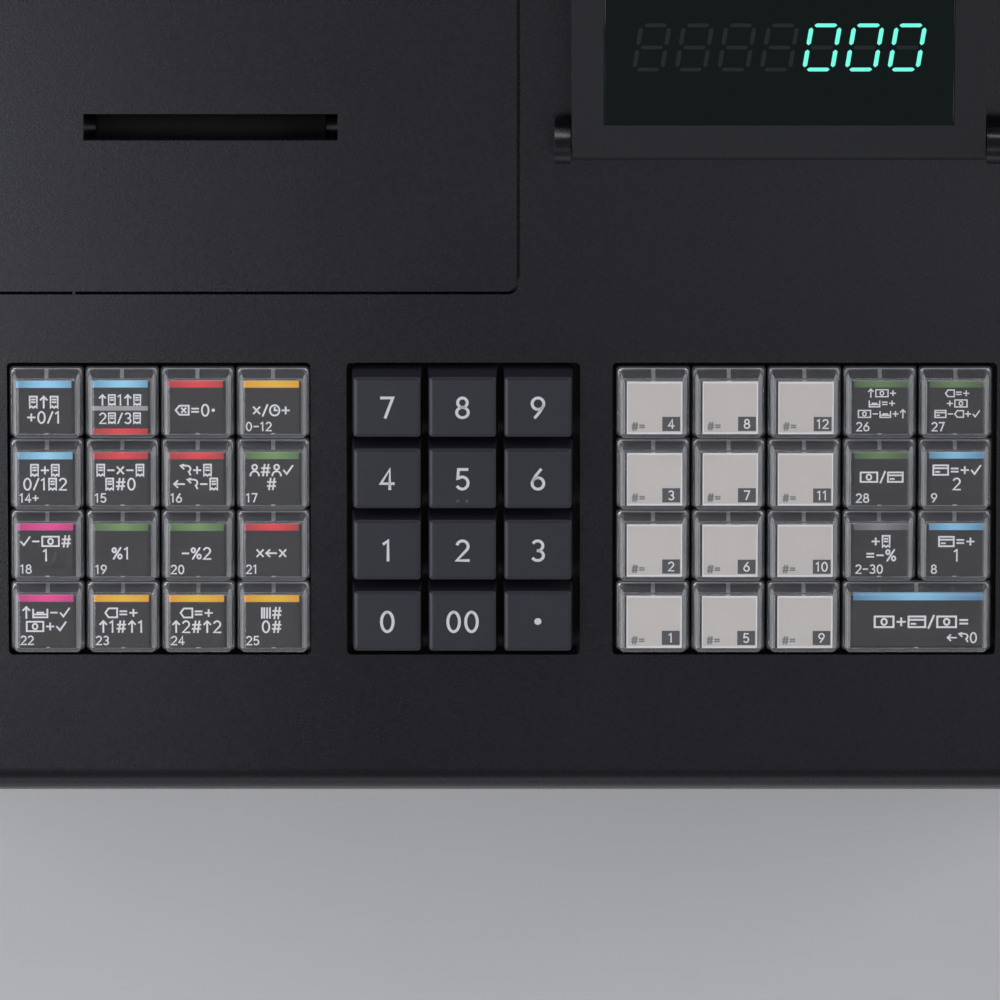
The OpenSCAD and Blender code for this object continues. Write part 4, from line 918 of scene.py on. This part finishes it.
paper_finish = Finish("wound_thermal_paper")
paper_centre = paper_finish.node("Mapping", {"vector_type": "POINT"}, {
    "Vector": paper_finish.place(), "Location": tuple(-roll_axis)})
paper_axes = paper_finish.node("SeparateXYZ", {}, {0: paper_centre}).link.node.outputs
paper_y, paper_z = (Socket(paper_finish, paper_axes[axis]) for axis in (1, 2))
paper_r = paper_finish.node("Math", {"operation": "SQRT"}, {0: paper_y * paper_y + paper_z * paper_z})
winding = paper_finish.node("Math", {"operation": "SINE"}, {0: paper_r * (2 * math.pi / (0.5 * mm))})
wander = paper_finish.noise(3 * mm, 2)
thermal_paper = paper_finish.surface(
    Base_Color=paper_finish.shaded((0.83, 0.83, 0.81), 0.93 + winding * 0.035 + wander * 0.08), Roughness=0.6,
    Normal=paper_finish.bump(winding, 0.03 * mm))
core_board = card_stock("brown_core_board", (0.36, 0.25, 0.15))
turned("paper_windings", [
    (roll_half, CORE_OUT), (roll_half, roll_r - ROLL_EDGE), (roll_half - ROLL_EDGE, roll_r),
    (ROLL_EDGE - roll_half, roll_r), (-roll_half, roll_r - ROLL_EDGE), (-roll_half, CORE_OUT)], thermal_paper)
turned("paper_core", [
    (roll_half, CORE_R), (roll_half, CORE_OUT - 0.05 * mm), (-roll_half, CORE_OUT - 0.05 * mm),
    (-roll_half, CORE_R)], core_board)

# ---- Displays ----
# Two charcoal housings, each with a smoked window. The operator's tilts on pins between the ears of
# the deck, the customer's turns on its stem. Both show figures made of seven lit bars.
SEGMENT_COLOUR = (0.16, 0.95, 0.72)
smoked_window = plain("smoked_display_window", (0.006, 0.011, 0.011), (30 * mm,), (0.9, 0.2), 0.08,
                      Coat_Weight=0.5)
segment_finish = Finish("lit_display_segments")
lit_segments = segment_finish.surface(
    Base_Color=(0.01, 0.03, 0.025), Roughness=0.4, Emission_Strength=1.1,
    Emission_Color=segment_finish.shaded(SEGMENT_COLOUR, 0.85 + segment_finish.noise(2 * mm) * 0.3))
dim_segments = plain("dark_display_segments", (0.018, 0.026, 0.025), (2 * mm,), (0.9, 0.2), 0.3)
display_plastic = moulded("charcoal_display_plastic", (0.0135, 0.0137, 0.0165), 0.46)
FIGURE_HEIGHT = 13 * mm
FIGURE_LEAN = 0.14
SEGMENTS = {"0": "abcdef", " ": ""}
DIGIT_STEP = 0.82
BARS = {"a": ((0, 0.5), 0), "b": ((0.27, 0.25), 1), "c": ((0.27, -0.25), 1), "d": ((0, -0.5), 0),
        "e": ((-0.27, -0.25), 1), "f": ((-0.27, 0.25), 1), "g": ((0, 0), 0)}


def bar(middle, upright):
    """One lit bar: a long hexagon, lying or upright, leaning with the figure."""
    long, thin = 0.2 if upright else 0.22, 0.042
    shape = np.array([(-long, 0), (-long + thin, -thin), (long - thin, -thin), (long, 0), (long - thin, thin),
                      (-long + thin, thin)])
    if upright:
        shape = np.column_stack([-shape[:, 1], shape[:, 0]])
    shape = (shape + middle) * FIGURE_HEIGHT
    return shape + np.column_stack([shape[:, 1] * FIGURE_LEAN, 0 * shape[:, 1]])


def figures(name, text, middle, right, up, body):
    """Seven-bar figures on a window: lit bars and dark ones, in the plane of two directions."""
    out = np.cross(right, up)
    for lit, material in ((True, lit_segments), (False, dim_segments)):
        points, faces = [], []
        for k, c in enumerate(text):
            at = (k - (len(text) - 1) / 2) * FIGURE_HEIGHT * DIGIT_STEP
            for label, (place, upright) in BARS.items():
                if (label in SEGMENTS[c]) != lit:
                    continue
                flat = bar(place, upright) + (at, 0)
                faces.append(np.arange(6) + 6 * len(faces))
                points.append(flat[:, :1] * right + flat[:, 1:] * up + middle + out * INK_RISE)
        mesh = bpy.data.meshes.new(name)
        mesh.from_pydata(np.vstack(points).tolist(), [], [f.tolist() for f in faces])
        show(f"{name}_{'lit' if lit else 'dark'}", mesh, [material], body)


# Each display with the way along X that its figures are read, and how steep its window stands
for node, way, steep in (("operator_display", 1, 30), ("customer_display", -1, 90)):
    window = node.replace("display", "window")
    parts = sorted(solids_of(node), key=lambda solid: -len(solid[0]))
    dressed(node + "_housing", node, parts[:1], display_plastic, 0.5 * mm)
    dressed(window, node, parts[1:], smoked_window, 0.2 * mm)
    corners = parts[1][0]
    right, tilt = np.array((way, 0, 0)), math.radians(steep)
    up = np.array((0, math.cos(tilt), math.sin(tilt)))
    out = np.cross(right, up)
    centre = (corners.min(0) + corners.max(0)) / 2
    centre += out * ((corners @ out).max() - centre @ out)
    figures(window + "_figures", "    000", centre, right, up, node)

# ---- Mode lock ----
# A nickel-plated cylinder lock in a collar of the deck. Its key stays in and turns with the plug;
# six short marks on the deck show where it stops.
nickel = plain("nickel_plate", (0.62, 0.61, 0.58), (4 * mm, 4, 0.6), (0.9, 0.2), (0.16, 0.16), Metallic=1.0)
dressed("mode_lock_plug_and_key", "mode_key", solids_of("mode_key"), nickel, 0.25 * mm)
lock_place = DECK @ np.array(joints["mode_key_turn"]["pos_m"])
MARK_IN, MARK_OUT, MARK_WIDTH = 11.0 * mm, 13.4 * mm, 0.7 * mm
marks = []
for turn in range(-35, 141, 35):
    away = math.radians(90 - turn)
    ray = np.array((math.cos(away), math.sin(away)))
    flat = np.vstack(ribbon(np.array([ray * MARK_IN, ray * MARK_OUT]), MARK_WIDTH))
    marks.append((np.column_stack([flat, np.full(4, INK_RISE)]), [np.array([[0, 2, 3, 1]])], 0))
build("mode_lock_marks", marks, [white_ink], "register", lock_place[:2])

# ---- Cash drawer ----
# A spot-welded steel cabinet in textured charcoal powder coat, on rubber feet. The drawer rolls out
# on nylon wheels in channel rails, pushed by the ejector, and carries a moulded tray.
powder_finish = Finish("textured_powder_coat")
powder_place = powder_finish.place()
powder_fine = powder_finish.noise(0.9 * mm, 3, 0.6, powder_place)
powder_broad = powder_finish.noise(90 * mm, 3, 0.5, powder_place)
powder_coat = powder_finish.surface(
    Base_Color=powder_finish.shaded((0.0185, 0.0187, 0.0215), 0.8 + powder_fine * 0.3 + powder_broad * 0.2),
    Roughness=0.5 + powder_fine * 0.14, Normal=powder_finish.bump(powder_fine, 0.06 * mm))
nylon = moulded("white_nylon", (0.66, 0.65, 0.60), 0.45, 1.0 * mm, 0.01 * mm, 0.1, 0.1)
dress_parts("drawer_cabinet", [
    ("cabinet_feet", lambda low, size: low[2] < 1 * mm, rubber, 1.0 * mm),
    ("cabinet_panels", lambda low, size: size[0] > 300 * mm or size[2] > 80 * mm, powder_coat, 0.35 * mm),
    ("cabinet_rails", lambda low, size: size[1] > 200 * mm, zinc, 0.2 * mm),
    ("cabinet_wheels", lambda low, size: size[0] < 6 * mm, nylon, 0.3 * mm),
    ("drawer_ejector", lambda low, size: True, zinc, 0.6 * mm),
])
dress_parts("cash_drawer", [
    ("drawer_front", lambda low, size: size[2] > 80 * mm, powder_coat, 0.9 * mm),
    ("drawer_wheels", lambda low, size: size[0] < 6 * mm and size[1] < 30 * mm, nylon, 0.3 * mm),
    ("drawer_rails", lambda low, size: size[0] < 15 * mm and size[2] < 30 * mm, zinc, 0.2 * mm),
    ("drawer_panels", lambda low, size: True, powder_coat, 0.3 * mm),
])

# ---- Till tray ----
# A black moulded tray with four banknote bins between loose dividers, and eight loose coin cups
# with scooped ends in front of them.
tray_plastic = moulded("black_tray_plastic", (0.012, 0.012, 0.0125), 0.44, 0.6 * mm, 0.015 * mm, 0.3, 0.15)
dress_parts("till_tray", [
    ("till_tray_shell", lambda low, size: size[0] > 200 * mm, tray_plastic, 0.4 * mm),
    ("note_dividers", lambda low, size: size[0] < 5 * mm, tray_plastic, 0.4 * mm),
    ("coin_cups", lambda low, size: True, tray_plastic, 0.4 * mm),
])
